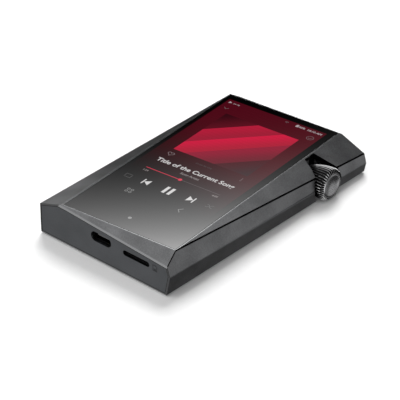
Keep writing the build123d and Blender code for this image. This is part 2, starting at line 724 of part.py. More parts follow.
def side_key_board():
    """Stiff strip behind the side keys."""
    front_x = DOME_X + DOME_HEIGHT
    return span(front_x, front_x + 0.5, 8.5, 38.5, SIDE_BUTTON_Z - 2.6, SIDE_BUTTON_Z + 1.6)


def key_domes():
    """Snap domes under the keys."""
    domes = []
    for y, _ in SIDE_BUTTONS.values():
        domes.append(round_x(DOME_X, DOME_X + DOME_HEIGHT, y, SIDE_BUTTON_Z, 1.3))
    return Compound(domes)


def power_button():
    """Key in the top end plate."""
    start_y = PLATE_INNER_Y - FLANGE_THICKNESS
    end_y = CASE_HALF_LENGTH + BUTTON_PROUD
    cap = slot_y(POWER_X, start_y, end_y, JACK_Z, POWER_WIDTH, POWER_HEIGHT)
    cap = chamfer(cap.faces().sort_by(Axis.Y)[-1].edges(), KEY_BEVEL)
    width = POWER_WIDTH + 2 * FLANGE_LIP
    height = POWER_HEIGHT + 2 * FLANGE_LIP
    return cap + slot_y(POWER_X, start_y, PLATE_INNER_Y, JACK_Z, width, height)


SWITCH_FRONT_Y = PLATE_INNER_Y - FLANGE_THICKNESS - BUTTON_TRAVEL - 0.1
SWITCH_DEPTH = 2.6


def power_switch():
    """Tact switch behind the power key."""
    start_y = SWITCH_FRONT_Y - SWITCH_DEPTH
    end_y = SWITCH_FRONT_Y - 0.4
    body = span(POWER_X - 2.5, POWER_X + 2.5, start_y, end_y, JACK_Z - 1.6, JACK_Z + 1.6)
    return body + round_y(POWER_X, end_y - 0.1, SWITCH_FRONT_Y, JACK_Z, 0.8)


def power_board():
    """Upright board that carries the power switch."""
    end_y = SWITCH_FRONT_Y - SWITCH_DEPTH
    return span(POWER_X - 4.5, POWER_X + 4.5, end_y - 0.6, end_y, 2.2, 8.0)


def star(x, radius):
    """Knurl section: a star with shallow points, facing along X."""
    plane = Plane(origin=(x, WHEEL_Y, WHEEL_Z), x_dir=(0, 1, 0), z_dir=(1, 0, 0))
    points = []
    for index in range(2 * WHEEL_TEETH):
        angle = math.pi * index / WHEEL_TEETH
        reach = radius if index % 2 == 0 else radius * (1 - KNURL_DEPTH)
        points.append((reach * math.cos(angle), reach * math.sin(angle)))
    return plane * make_face(Polyline(*points, close=True))


def volume_knob():
    """Knurled wheel: a bell-shaped barrel and a bevelled face, bored for shaft and cap."""
    sections = [star(x, radius) for x, radius in WHEEL_PROFILE]
    knob = loft(sections, ruled=True)
    shaft_radius = SHAFT_RADIUS + FIXED_GAP
    knob -= round_x(WHEEL_INNER_X - 1, SHAFT_END_X + 0.1, WHEEL_Y, WHEEL_Z, shaft_radius)
    return knob - round_x(CAP_BACK_X, CUT_REACH, WHEEL_Y, WHEEL_Z, CAP_RADIUS + FIXED_GAP)


def knob_cap():
    """Dished disc pressed into the wheel's face."""
    disc = round_x(CAP_BACK_X, CAP_FRONT_X, WHEEL_Y, WHEEL_Z, CAP_RADIUS)
    ball_radius = (DISH_RADIUS ** 2 + DISH_DEPTH ** 2) / (2 * DISH_DEPTH)
    ball = Pos(CAP_FRONT_X + ball_radius - DISH_DEPTH, WHEEL_Y, WHEEL_Z) * Sphere(ball_radius)
    return disc - ball


def encoder_shaft():
    """Shaft that carries the wheel."""
    return round_x(SHAFT_START_X, SHAFT_END_X, WHEEL_Y, WHEEL_Z, SHAFT_RADIUS)


def encoder_bush():
    """Flanged bush in the pocket's back wall."""
    bush = round_x(ENCODER_END_X, POCKET_INNER_X + 0.2, WHEEL_Y, WHEEL_Z, BUSH_RADIUS)
    hole_radius = SHAFT_RADIUS + RUNNING_GAP
    return bush - round_x(ENCODER_END_X - 1, POCKET_INNER_X + 1, WHEEL_Y, WHEEL_Z, hole_radius)


def encoder_body():
    """Square encoder case around its rotor."""
    block = Pos((ENCODER_START_X + ENCODER_END_X) / 2, WHEEL_Y, WHEEL_Z)
    body = block * Box(ENCODER_END_X - ENCODER_START_X, ENCODER_SIDE, ENCODER_SIDE)
    body -= round_x(SHAFT_START_X - 0.3, ENCODER_END_X - 0.7, WHEEL_Y, WHEEL_Z, 3.1)
    hole_radius = SHAFT_RADIUS + 0.2
    return body - round_x(ENCODER_END_X - 1, ENCODER_END_X + 1, WHEEL_Y, WHEEL_Z, hole_radius)


def encoder_rotor():
    """Contact disc on the shaft's end."""
    disc = round_x(SHAFT_START_X + 1.0, SHAFT_START_X + 1.8, WHEEL_Y, WHEEL_Z, 2.8)
    hole_radius = SHAFT_RADIUS + FIXED_GAP
    return disc - round_x(SHAFT_START_X, SHAFT_START_X + 3, WHEEL_Y, WHEEL_Z, hole_radius)


def encoder_board():
    """Upright board behind the encoder."""
    start_x = ENCODER_START_X - 0.8
    return span(start_x, ENCODER_START_X, WHEEL_Y - 4.2, WHEEL_Y + 4.2, 2.2, 10.0)


def battery_cell():
    """Flat pouch cell."""
    x0, x1, y0, y1, z0, z1 = BATTERY
    cell = span(x0, x1, y0, y1, z0, z1)
    return fillet(cell.edges().filter_by(Axis.Y), 1.2)


def battery_tape():
    """Pull tape that holds the cell down on the rear cover."""
    x0, x1, y0, y1, z0, _ = BATTERY
    return span(x0 + 6, x1 - 6, y0 + 4, y1 - 4, z0 - TAPE_THICKNESS, z0)


def battery_board():
    """Protection board along the cell's lower edge."""
    x0, x1, y0, _, _, _ = BATTERY
    return span(x0 + 8, x1 - 8, y0 - 3.2, y0 - 0.1, 4.6, 5.2)


def battery_lead():
    """Flat lead from the protection board up past the mid plate."""
    ribbon = 0.3
    end_y = LEAD_Y + LEAD_WIDTH
    flat_run = span(LEAD_X, -16.0, LEAD_Y, end_y, 4.6 - ribbon, 4.6)
    riser = span(LEAD_X, LEAD_X + ribbon, LEAD_Y, end_y, 4.6 - ribbon, PLUG_STEP_Z + ribbon)
    top_run = span(LEAD_X, PLUG_STEP_X - 0.1, LEAD_Y, end_y, PLUG_STEP_Z, PLUG_STEP_Z + ribbon)
    return flat_run + riser + top_run


def battery_connector():
    """Plug and socket on the main board."""
    start_y = LEAD_Y - 0.6
    end_y = LEAD_Y + LEAD_WIDTH + 0.6
    socket = span(PLUG_STEP_X - 1.3, -18.6, start_y, end_y, BOARD_TOP, PLUG_STEP_Z)
    return socket + span(PLUG_STEP_X, -18.6, start_y, end_y, BOARD_TOP, PLUG_STEP_Z + 0.9)


def antenna():
    """Flexible antenna on the left wall."""
    return span(CAVITY_LEFT + 0.02, CAVITY_LEFT + 0.22, -30.0, -12.0, 7.6, 11.0)


def screws_up(points, head_z):
    """Screws with the head below and the shank upwards."""
    screws = []
    for x, y in points:
        head = round_z(x, y, head_z - SCREW_HEAD, head_z, SCREW_HEAD_RADIUS)
        shank = round_z(x, y, head_z, head_z + 2.5, SCREW_RADIUS)
        screws.append(head + shank)
    return Compound(screws)


def screws_down(points, head_z):
    """Screws with the head above and the shank downwards."""
    screws = []
    for x, y in points:
        head = round_z(x, y, head_z, head_z + SCREW_HEAD, SCREW_HEAD_RADIUS)
        shank = round_z(x, y, head_z - 1.8, head_z, SCREW_RADIUS)
        screws.append(head + shank)
    return Compound(screws)


def build_nodes():
    """Every node by name."""
    nodes = {
        "case_frame": case_frame(),
        "rear_cover": rear_cover(),
        "rear_adhesive": rear_adhesive(),
        "bottom_end_plate": bottom_end_plate(),
        "top_end_plate": top_end_plate(),
        "cover_glass": cover_glass(),
        "glass_adhesive": glass_adhesive(),
        "touch_sensor": touch_sensor(),
        "display_panel": display_panel(),
        "display_tray": display_tray(),
        "display_flex": display_flex(),
        "mid_plate": mid_plate(),
        "main_board": main_board(),
        "processor_shield": shield_can(-20.0, 2.0, -10.0, 12.0, 1.3),
        "converter_shield": shield_can(5.0, 19.0, -10.0, 8.0, 1.3),
        "amplifier_shield": shield_can(-16.0, 4.0, 16.0, 30.0, 1.3),
        "board_chips": board_chips(),
        "usb_c_shell": usb_c_shell(),
        "usb_c_tongue": usb_c_tongue(),
        "usb_c_contacts": usb_c_contacts(),
        "card_base": card_base(),
        "card_shell": card_shell(),
        "card_contacts": card_contacts(),
        "card_slider": card_slider(),
        "card_spring": card_spring(),
        "jack_board": jack_board(),
        "side_key_board": side_key_board(),
        "key_domes": key_domes(),
        "power_button": power_button(),
        "power_switch": power_switch(),
        "power_board": power_board(),
        "volume_knob": volume_knob(),
        "knob_cap": knob_cap(),
        "encoder_shaft": encoder_shaft(),
        "encoder_rotor": encoder_rotor(),
        "encoder_bush": encoder_bush(),
        "encoder_body": encoder_body(),
        "encoder_board": encoder_board(),
        "battery_cell": battery_cell(),
        "battery_tape": battery_tape(),
        "battery_board": battery_board(),
        "battery_lead": battery_lead(),
        "battery_connector": battery_connector(),
        "antenna": antenna(),
        "frame_screws": screws_up(FRAME_SCREW_XY, MIDPLATE_BOTTOM),
        "board_screws": screws_down(BOARD_SCREW_XY, BOARD_TOP),
    }
    for name, (x, radius, width, depth) in JACKS.items():
        nodes[name + "_housing"] = jack_housing(x, radius, width, depth)
        nodes[name + "_ring"] = jack_ring(x, radius)
    for name, (y, length) in SIDE_BUTTONS.items():
        nodes[name] = side_button(y, length)
    return nodes


os.makedirs("parts", exist_ok=True)
for node_name, node_shape in build_nodes().items():
    export_step(node_shape, "parts/" + node_name + ".step")
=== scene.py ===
"""Looks of a pocket digital audio player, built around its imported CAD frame.

Everything is in metres in the frame of the CAD model: X to the player's right, Y towards its
top end, Z out of the screen.
"""

import logging
import math
from dataclasses import dataclass, field
from enum import Enum
from typing import Dict, List, Optional, Sequence, Tuple

import bmesh
import bpy
import numpy as np
from mathutils import Matrix, Vector
from mathutils.geometry import convex_hull_2d

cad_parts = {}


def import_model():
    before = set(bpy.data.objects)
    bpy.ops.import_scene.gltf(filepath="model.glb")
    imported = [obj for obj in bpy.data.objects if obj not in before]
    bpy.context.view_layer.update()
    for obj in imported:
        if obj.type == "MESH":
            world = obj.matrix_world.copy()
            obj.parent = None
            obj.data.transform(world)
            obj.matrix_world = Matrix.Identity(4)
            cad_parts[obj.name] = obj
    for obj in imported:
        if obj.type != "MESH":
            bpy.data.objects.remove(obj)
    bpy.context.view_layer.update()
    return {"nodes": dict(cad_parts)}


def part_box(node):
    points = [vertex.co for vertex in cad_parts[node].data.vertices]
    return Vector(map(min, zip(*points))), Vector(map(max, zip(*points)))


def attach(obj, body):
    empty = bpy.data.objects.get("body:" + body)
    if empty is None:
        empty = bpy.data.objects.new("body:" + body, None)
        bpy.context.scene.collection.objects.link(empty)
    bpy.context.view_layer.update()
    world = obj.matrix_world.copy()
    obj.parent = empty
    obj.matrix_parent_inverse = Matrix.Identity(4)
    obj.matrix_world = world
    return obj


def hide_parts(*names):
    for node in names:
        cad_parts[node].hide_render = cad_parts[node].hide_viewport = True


MM = 0.001
Point = Tuple[float, float]
Colour = Tuple[float, float, float]

log = logging.getLogger("player")


class Body(Enum):
    """Rigid bodies that a piece can ride on."""

    CASE = "case"
    WHEEL = "volume_wheel"


class Wave(Enum):
    """How a metal surface was finished."""

    BLASTED = "blasted"
    SPUN = "spun"
    POLISHED = "polished"


# ---------------------------------------------------------------------------------------------
# Node graphs and finishes
# ---------------------------------------------------------------------------------------------


class Graph:
    """A material's or a world's node graph, with short ways to add and join nodes."""

    def __init__(self, tree: bpy.types.NodeTree) -> None:
        """Start from an empty graph.

        Args:
            tree: the node tree to fill.
        """
        self.tree = tree
        tree.nodes.clear()

    def add(self, kind: str, inputs: Optional[Dict] = None, **settings) -> bpy.types.Node:
        """Add a node.

        Args:
            kind: node type, without its ShaderNode prefix.
            inputs: socket values or output sockets by input name or number.
            settings: node attributes to set before its inputs.

        Returns:
            The new node.
        """
        node = self.tree.nodes.new("ShaderNode" + kind)
        for name, value in settings.items():
            setattr(node, name, value)
        for key, value in (inputs or {}).items():
            if isinstance(value, bpy.types.NodeSocket):
                self.tree.links.new(value, node.inputs[key])
            else:
                node.inputs[key].default_value = value
        return node

    def math(self, operation: str, *values, clamp: bool = False) -> bpy.types.NodeSocket:
        """Add a math node.

        Args:
            operation: name of the operation.
            values: numbers or sockets.
            clamp: keep the result between 0 and 1.

        Returns:
            The result's socket.
        """
        node = self.add("Math", dict(enumerate(values)), operation=operation, use_clamp=clamp)
        return node.outputs[0]

    def ramp(self, value, start: float, end: float, low: float = 0.0, high: float = 1.0):
        """Smooth step of a value.

        Args:
            value: the socket to map.
            start: value at which the step begins.
            end: value at which the step ends.
            low: result at the beginning.
            high: result at the end.

        Returns:
            The result's socket.
        """
        node = self.add(
            "MapRange",
            {0: value, 1: start, 2: end, 3: low, 4: high},
            interpolation_type="SMOOTHSTEP",
        )
        return node.outputs[0]

    def blend(self, factor, first, second) -> bpy.types.NodeSocket:
        """Mix two colours.

        Args:
            factor: share of the second colour.
            first: colour or socket.
            second: colour or socket.

        Returns:
            The mixed colour's socket.
        """
        node = self.add("Mix", data_type="RGBA")
        for key, value in ((0, factor), (6, first), (7, second)):
            if isinstance(value, bpy.types.NodeSocket):
                self.tree.links.new(value, node.inputs[key])
            elif key == 0:
                node.inputs[key].default_value = value
            else:
                node.inputs[key].default_value = (*value[:3], 1.0)
        return node.outputs[2]


def new_material(name: str) -> Tuple[bpy.types.Material, Graph, bpy.types.Node, bpy.types.NodeSocket]:
    """Make a material with a Principled shader and object coordinates.

    Args:
        name: the material's name.

    Returns:
        The material, its graph, its shader and the object coordinate socket.
    """
    material = bpy.data.materials.new(name)
    material.use_nodes = True
    graph = Graph(material.node_tree)
    shader = graph.add("BsdfPrincipled")
    graph.add("OutputMaterial", {"Surface": shader.outputs[0]})
    place = graph.add("TexCoord").outputs["Object"]
    return material, graph, shader, place


@dataclass(frozen=True)
class Metal:
    """Anodised or plated metal with a grain in its colour, roughness and height."""

    name: str
    colour: Colour
    roughness: float
    grain: float = 0.45 * MM
    depth: float = 5.0e-6
    mottle: float = 0.30
    wave: Wave = Wave.BLASTED
    centre: Tuple[float, float, float] = (0.0, 0.0, 0.0)

    def material(self) -> bpy.types.Material:
        """Build the material.

        Returns:
            A material whose grain is noise on object coordinates. On a spun surface the grain is
            rings about an axis along X: a wave of the distance from that axis.
        """
        material, graph, shader, place = new_material(self.name)
        fine = graph.add(
            "TexNoise", {"Vector": place, "Scale": 1 / self.grain, "Detail": 3.0, "Roughness": 0.6}
        )
        broad = graph.add("TexNoise", {"Vector": place, "Scale": 90.0, "Detail": 2.0, "Roughness": 0.5})
        height = fine.outputs["Fac"]
        if self.wave is Wave.SPUN:
            shift = graph.add("VectorMath", {0: place, 1: self.centre}, operation="SUBTRACT").outputs[0]
            flat = graph.add("VectorMath", {0: shift, 1: (0.0, 1.0, 1.0)}, operation="MULTIPLY").outputs[0]
            distance = graph.add("VectorMath", {0: flat}, operation="LENGTH").outputs["Value"]
            turns = graph.math("MULTIPLY", distance, 1 / self.grain)
            height = graph.add(
                "TexNoise", {"W": turns, "Scale": 1.0, "Detail": 2.0}, noise_dimensions="1D"
            ).outputs[0]
        dark = tuple(value * (1 - self.mottle) for value in self.colour)
        light = tuple(value * (1 + self.mottle) for value in self.colour)
        mixed = graph.math("MULTIPLY_ADD", broad.outputs["Fac"], 0.5, graph.math("MULTIPLY", height, 0.5))
        shade = graph.ramp(mixed, 0.3, 0.7)
        self.join(graph, shader, "Base Color", graph.blend(shade, dark, light))
        rough = graph.ramp(height, 0.25, 0.75, self.roughness * 0.88, self.roughness * 1.12)
        self.join(graph, shader, "Roughness", rough)
        shader.inputs["Metallic"].default_value = 1.0
        if self.depth > 0:
            bump = graph.add("Bump", {"Strength": 1.0, "Distance": self.depth, "Height": height})
            self.join(graph, shader, "Normal", bump.outputs[0])
        return material

    @staticmethod
    def join(graph: Graph, shader: bpy.types.Node, name: str, socket: bpy.types.NodeSocket) -> None:
        """Link a socket to one of the shader's inputs."""
        graph.tree.links.new(socket, shader.inputs[name])


@dataclass(frozen=True)
class Knurled:
    """Bright turned crests over grooves painted near black as shade, told apart by a mesh attribute."""

    name: str
    crest: Colour
    groove: Colour
    roughness: float
    attribute: str = "hollow"

    def mark(self, piece: bpy.types.Object, hollow: np.ndarray) -> None:
        """Store how deep each point of a turned mesh lies in its groove.

        Args:
            piece: the turned mesh.
            hollow: 0 on a crest to 1 in a groove, for each of the mesh's points.
        """
        layer = piece.data.attributes.new(self.attribute, "FLOAT", "POINT")
        layer.data.foreach_set("value", hollow.astype(np.float32))

    def material(self) -> bpy.types.Material:
        """Build the material.

        Returns:
            A metal whose colour runs from the crest's to the groove's with the attribute, so the
            grooves darken with painted shade.
        """
        material, graph, shader, place = new_material(self.name)
        depth = graph.add("Attribute", attribute_name=self.attribute).outputs["Fac"]
        grain = graph.add("TexNoise", {"Vector": place, "Scale": 9000.0, "Detail": 2.0}).outputs["Fac"]
        shade = graph.ramp(graph.math("MULTIPLY_ADD", grain, 0.1, depth), 0.22, 0.62)
        # The groove colour is painted shade deep in the knurl.
        colour = graph.blend(shade, self.crest, self.groove)
        graph.tree.links.new(colour, shader.inputs["Base Color"])
        rough = graph.ramp(shade, 0.0, 1.0, self.roughness, self.roughness + 0.25)
        graph.tree.links.new(rough, shader.inputs["Roughness"])
        shader.inputs["Metallic"].default_value = 1.0
        return material


@dataclass(frozen=True)
class Moulded:
    """Plastic, film, paint or rubber with a fine noise in colour, roughness and height."""

    name: str
    colour: Colour
    roughness: float
    second: Optional[Colour] = None
    grain: float = 0.4 * MM
    depth: float = 2e-6
    coat: float = 0.0

    def material(self) -> bpy.types.Material:
        """Build the material.

        Returns:
            A material with noise between its two colours.
        """
        material, graph, shader, place = new_material(self.name)
        noise = graph.add(
            "TexNoise", {"Vector": place, "Scale": 1 / self.grain, "Detail": 4.0, "Roughness": 0.6}
        )
        other = self.second or tuple(value * 0.8 for value in self.colour)
        shade = graph.ramp(noise.outputs["Fac"], 0.35, 0.65)
        graph.tree.links.new(graph.blend(shade, self.colour, other), shader.inputs["Base Color"])
        rough = graph.ramp(
            noise.outputs["Fac"], 0.3, 0.7, self.roughness * 0.85, min(1.0, self.roughness * 1.15)
        )
        graph.tree.links.new(rough, shader.inputs["Roughness"])
        bump = graph.add("Bump", {"Strength": 1.0, "Distance": self.depth, "Height": noise.outputs["Fac"]})
        graph.tree.links.new(bump.outputs[0], shader.inputs["Normal"])
        shader.inputs["Coat Weight"].default_value = self.coat
        return material


@dataclass(frozen=True)
class CircuitBoard:
    """Solder mask with lighter copper tracks under it and gold pads."""

    name: str
    mask: Colour
    track: Colour
    pad: Colour
    pitch: float = 1.1 * MM

    def material(self) -> bpy.types.Material:
        """Build the material.

        Returns:
            A material with tracks along the edges of square cells, and pads on cells picked by
            a cell noise.
        """
        material, graph, shader, place = new_material(self.name)
        bricks = graph.add(
            "TexBrick", {"Vector": place, "Scale": 1 / self.pitch, "Mortar Size": 0.06}, offset=0.4
        )
        for key, value in (("Color1", self.mask), ("Color2", self.mask), ("Mortar", self.track)):
            bricks.inputs[key].default_value = (*value, 1.0)
        cells = graph.add("TexVoronoi", {"Vector": place, "Scale": 0.6 / self.pitch, "Randomness": 0.35})
        on_pad = graph.math("LESS_THAN", cells.outputs["Distance"], 0.16)
        colour = graph.blend(on_pad, bricks.outputs["Color"], self.pad)
        graph.tree.links.new(colour, shader.inputs["Base Color"])
        graph.tree.links.new(on_pad, shader.inputs["Metallic"])
        shader.inputs["Roughness"].default_value = 0.35
        return material


@dataclass(frozen=True)
class BlackGlass:
    """Polished glass with black print bonded under it, so nothing shows through but gloss."""

    name: str
    ink: float = 0.0002
    smudge: float = 0.0003
    index: float = 1.5

    def material(self) -> bpy.types.Material:
        """Build the material.

        Returns:
            A black glossy material, with faint cloudy differences in the print's tone.
        """
        material, graph, shader, place = new_material(self.name)
        cloud = graph.add("TexNoise", {"Vector": place, "Scale": 60.0, "Detail": 3.0})
        tone = graph.math("MULTIPLY_ADD", cloud.outputs["Fac"], self.smudge, self.ink)
        graph.tree.links.new(tone, shader.inputs["Base Color"])
        shader.inputs["Roughness"].default_value = 0.0
        shader.inputs["IOR"].default_value = self.index
        return material


@dataclass(frozen=True)
class Lit:
    """A lit area of the display: a colour that changes along one direction, with a pixel grid."""

    name: str
    colour: Colour
    end_colour: Optional[Colour] = None
    start: Tuple[float, float, float] = (0.0, 0.0, 0.0)
    end: Tuple[float, float, float] = (0.0, 0.1, 0.0)
    pixel: float = 0.062 * MM

    def material(self) -> bpy.types.Material:
        """Build the material.

        Returns:
            A material that gives light. The share of the end colour is a smooth step of how far
            a point lies from start towards end.
        """
        material, graph, shader, place = new_material(self.name)
        shader.inputs["Base Color"].default_value = (0.0, 0.0, 0.0, 1.0)
        shader.inputs["Roughness"].default_value = 0.0
        shader.inputs["IOR"].default_value = 1.5
        span = Vector(self.end) - Vector(self.start)
        offset = graph.add("VectorMath", {0: place, 1: self.start}, operation="SUBTRACT").outputs[0]
        along = graph.add(
            "VectorMath", {0: offset, 1: tuple(span / span.length_squared)}, operation="DOT_PRODUCT"
        )
        share = graph.ramp(along.outputs["Value"], 0.0, 1.0)
        colour = graph.blend(share, self.colour, self.end_colour or self.colour)
        cells = graph.add("TexVoronoi", {"Vector": place, "Scale": 1 / self.pixel, "Randomness": 0.0})
        dim = graph.ramp(cells.outputs["Distance"], 0.3, 0.75, 1.0, 0.9)
        lit = graph.add("VectorMath", {0: colour, "Scale": dim}, operation="SCALE").outputs[0]
        graph.tree.links.new(lit, shader.inputs["Emission Color"])
        shader.inputs["Emission Strength"].default_value = 1.0
        return material


# ---------------------------------------------------------------------------------------------
# Mesh building
# ---------------------------------------------------------------------------------------------


def mesh_object(name: str, verts: np.ndarray, faces: Sequence[Sequence[int]]) -> bpy.types.Object:
    """Make an object from points and faces and tidy its mesh.

    Args:
        name: the piece's name.
        verts: points, one row each.
        faces: point numbers of each face.

    Returns:
        The object, with doubles merged and its faces pointing outwards.
    """
    mesh = bpy.data.meshes.new(name)
    mesh.from_pydata(np.asarray(verts, float).tolist(), [], [list(map(int, face)) for face in faces])
    work = bmesh.new()
    work.from_mesh(mesh)
    bmesh.ops.remove_doubles(work, verts=work.verts, dist=1e-7)
    bmesh.ops.dissolve_degenerate(work, edges=work.edges, dist=1e-8)
    bmesh.ops.recalc_face_normals(work, faces=work.faces)
    work.to_mesh(mesh)
    work.free()
    piece = bpy.data.objects.new(name, mesh)
    bpy.context.scene.collection.objects.link(piece)
    return piece


def smooth(piece: bpy.types.Object, angle: float = 30.0) -> None:
    """Shade a piece smoothly except at edges sharper than an angle in degrees."""
    count = len(piece.data.polygons)
    piece.data.polygons.foreach_set("use_smooth", np.ones(count, bool))
    piece.data.set_sharp_from_angle(angle=math.radians(angle))


def grid_faces(rows: int, columns: int) -> np.ndarray:
    """Quads of a grid whose columns close into a ring.

    Args:
        rows: number of rows of points.
        columns: number of points in each row.

    Returns:
        Four point numbers per quad.
    """
    row, column = np.meshgrid(np.arange(rows - 1), np.arange(columns), indexing="ij")
    after = (column + 1) % columns
    corners = (row * columns + column, row * columns + after, (row + 1) * columns + after, (row + 1) * columns + column)
    return np.stack(corners, -1).reshape(-1, 4)


def turned_x(
    name: str, x: np.ndarray, radius: np.ndarray, angles: np.ndarray, centre: Vector
) -> bpy.types.Object:
    """Surface turned about an axis along X.

    A point is (x, centre.y + r cos a, centre.z + r sin a), with r given for each profile point
    and each angle a.

    Args:
        name: the piece's name.
        x: place of each profile point along the axis.
        radius: distance from the axis, one row for each profile point and one column per angle.
        angles: angles in radians.
        centre: a point of the axis.

    Returns:
        The closed object. Profiles that start and end on the axis close at a pole.
    """
    along = np.repeat(x[:, None], len(angles), axis=1)
    y = centre.y + radius * np.cos(angles)[None, :]
    z = centre.z + radius * np.sin(angles)[None, :]
    verts = np.stack([along, y, z], -1).reshape(-1, 3)
    return mesh_object(name, verts, grid_faces(len(x), len(angles)))


def finish_piece(
    piece: bpy.types.Object, material: bpy.types.Material, body: Body
) -> bpy.types.Object:
    """Dress a piece and let it ride.

    Args:
        piece: the object.
        material: its only material.
        body: the body that it moves with.

    Returns:
        The same object.
    """
    piece.data.materials.clear()
    piece.data.materials.append(material)
    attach(piece, body.value)
    log.info("piece %s on %s", piece.name, body.value)
    return piece


def paint_nodes(nodes: Dict[str, bpy.types.Object], names: Sequence[str], finish) -> None:
    """Give CAD nodes a finish.

    Args:
        nodes: CAD objects by name.
        names: the nodes to paint.
        finish: a finish with a material method.
    """
    material = finish.material()
    for name in names:
        data = nodes[name].data
        for index in range(max(1, len(data.materials))):
            if index < len(data.materials):
                data.materials[index] = material
            else:
                data.materials.append(material)
        log.info("node %s painted %s", name, finish.name)


def arc(centre: Point, radius: float, start: float, end: float, count: int) -> List[Point]:
    """Points on an arc.

    Args:
        centre: the arc's centre.
        radius: its radius.
        start: first angle in degrees.
        end: last angle in degrees.
        count: number of points.

    Returns:
        The points, centre plus radius times cosine and sine of evenly spaced angles.
    """
    angles = np.radians(np.linspace(start, end, count))
    return [(centre[0] + radius * math.cos(a), centre[1] + radius * math.sin(a)) for a in angles]


@dataclass
class ScreenPlane:
    """Plane of the glass face, with places across, along and below it.

    It is a rectangle turned about Z in the case and sloping down towards the top end.
    """

    centre: Vector = field(default_factory=lambda: Vector((-1.0, -0.1, 14.35)) * MM)
    turn: float = 5.8
    slope: float = 1.9

    def __post_init__(self) -> None:
        """Work out the plane's three directions."""
        turn = math.radians(self.turn)
        slope = math.radians(self.slope)
        self.across = Vector((math.cos(turn), math.sin(turn), 0.0))
        self.along = Vector(
            (-math.sin(turn) * math.cos(slope), math.cos(turn) * math.cos(slope), -math.sin(slope))
        )
        self.out = self.across.cross(self.along)

    def point(self, across: float, along: float, depth: float = 0.0) -> Vector:
        """Point under the glass face; all three in millimetres."""
        return self.centre + (self.across * across + self.along * along - self.out * depth) * MM

    def points(self, flat: np.ndarray, depth: float) -> np.ndarray:
        """Points under the glass face.

        Args:
            flat: places across and along in millimetres, one row each.
            depth: distance below the face in millimetres.

        Returns:
            Places in metres, one row each: centre + across a + along b - out depth.
        """
        basis = np.array([self.across, self.along])
        return np.array(self.centre) + (np.asarray(flat, float) @ basis - np.array(self.out) * depth) * MM

    def matrix(self) -> Matrix:
        """Transform from the screen's own axes in metres to the frame."""
        rotation = Matrix((self.across, self.along, self.out)).transposed().to_4x4()
        return Matrix.Translation(self.centre) @ rotation


class Shapes:
    """Flat shapes on the screen, gathered into one closed mesh between two depths."""

    def __init__(self, plane: ScreenPlane, top: float, bottom: float) -> None:
        """Start with no shapes.

        Args:
            plane: the screen's plane.
            top: depth of the upper face in millimetres.
            bottom: depth of the lower face in millimetres.
        """
        self.plane = plane
        self.top = top
        self.bottom = bottom
        self.verts: List[np.ndarray] = []
        self.faces: List[List[int]] = []
        self.count = 0

    def polygon(self, outline: Sequence[Point]) -> "Shapes":
        """Add a filled outline.

        Args:
            outline: its corners in order, in millimetres.

        Returns:
            The same collection.
        """
        number = len(outline)
        self.verts.append(self.plane.points(np.array(outline), self.top))
        self.verts.append(self.plane.points(np.array(outline), self.bottom))
        first = self.count
        self.faces.append([first + i for i in range(number)])
        self.faces.append([first + number + i for i in reversed(range(number))])
        for i in range(number):
            j = (i + 1) % number
            self.faces.append([first + j, first + i, first + number + i, first + number + j])
        self.count += 2 * number
        return self

    def stroke(self, path: Sequence[Point], width: float, closed: bool = False) -> "Shapes":
        """Add a line of even width, offset half the width to each side and mitred at corners.

        Args:
            path: points of its middle line.
            width: its width.
            closed: join the last point to the first.

        Returns:
            The same collection.
        """
        middle = np.array(path, float)
        back = np.roll(middle, 1, axis=0)
        ahead = np.roll(middle, -1, axis=0)
        if not closed:
            back[0] = 2 * middle[0] - middle[1]
            ahead[-1] = 2 * middle[-1] - middle[-2]
        before = middle - back
        after = ahead - middle
        before /= np.linalg.norm(before, axis=1)[:, None]
        after /= np.linalg.norm(after, axis=1)[:, None]
        normal = np.stack([-(before + after)[:, 1], (before + after)[:, 0]], -1)
        normal /= np.linalg.norm(normal, axis=1)[:, None]
        cosine = np.clip((normal * np.stack([-after[:, 1], after[:, 0]], -1)).sum(1), 0.4, 1.0)
        offset = normal * (width / 2 / cosine)[:, None]
        left = middle + offset
        right = middle - offset
        number = len(middle)
        rings = [(left, self.top), (right, self.top), (right, self.bottom), (left, self.bottom)]
        self.verts.extend(self.plane.points(ring, depth) for ring, depth in rings)
        first = self.count
        steps = number if closed else number - 1
        for side in range(4):
            other = (side + 1) % 4
            for i in range(steps):
                j = (i + 1) % number
                a, b = first + side * number, first + other * number
                self.faces.append([a + i, a + j, b + j, b + i])
        if not closed:
            self.faces.append([first + side * number for side in range(4)])
            self.faces.append([first + side * number + number - 1 for side in reversed(range(4))])
        self.count += 4 * number
        return self

    def build(self, name: str) -> bpy.types.Object:
        """Make the object."""
        return mesh_object(name, np.concatenate(self.verts), self.faces)


# ---------------------------------------------------------------------------------------------
# Sub-assemblies
# ---------------------------------------------------------------------------------------------

BLASTED = Metal("blasted_gunmetal", (0.150, 0.152, 0.156), 0.40)
POLISHED = Metal("polished_bevel", (0.170, 0.172, 0.176), 0.14, depth=0.0, mottle=0.05, wave=Wave.POLISHED)
RIM = Metal("polished_rim", (0.150, 0.152, 0.155), 0.10, depth=0.0, mottle=0.03, wave=Wave.POLISHED)
# Dark finish for the crease bevels: painted shade.
CREASE_SHADE = Metal("crease_painted_shade", (0.030, 0.030, 0.031), 0.20, depth=0.0, mottle=0.05, wave=Wave.POLISHED)
# Near-black finish for the wheel pocket and inward-facing walls: painted shade.
POCKET_SHADE = Metal("pocket_painted_shade", (0.004, 0.004, 0.004), 0.5)
END_PLATE = Metal("end_plate_satin", (0.115, 0.120, 0.127), 0.38, mottle=0.12)


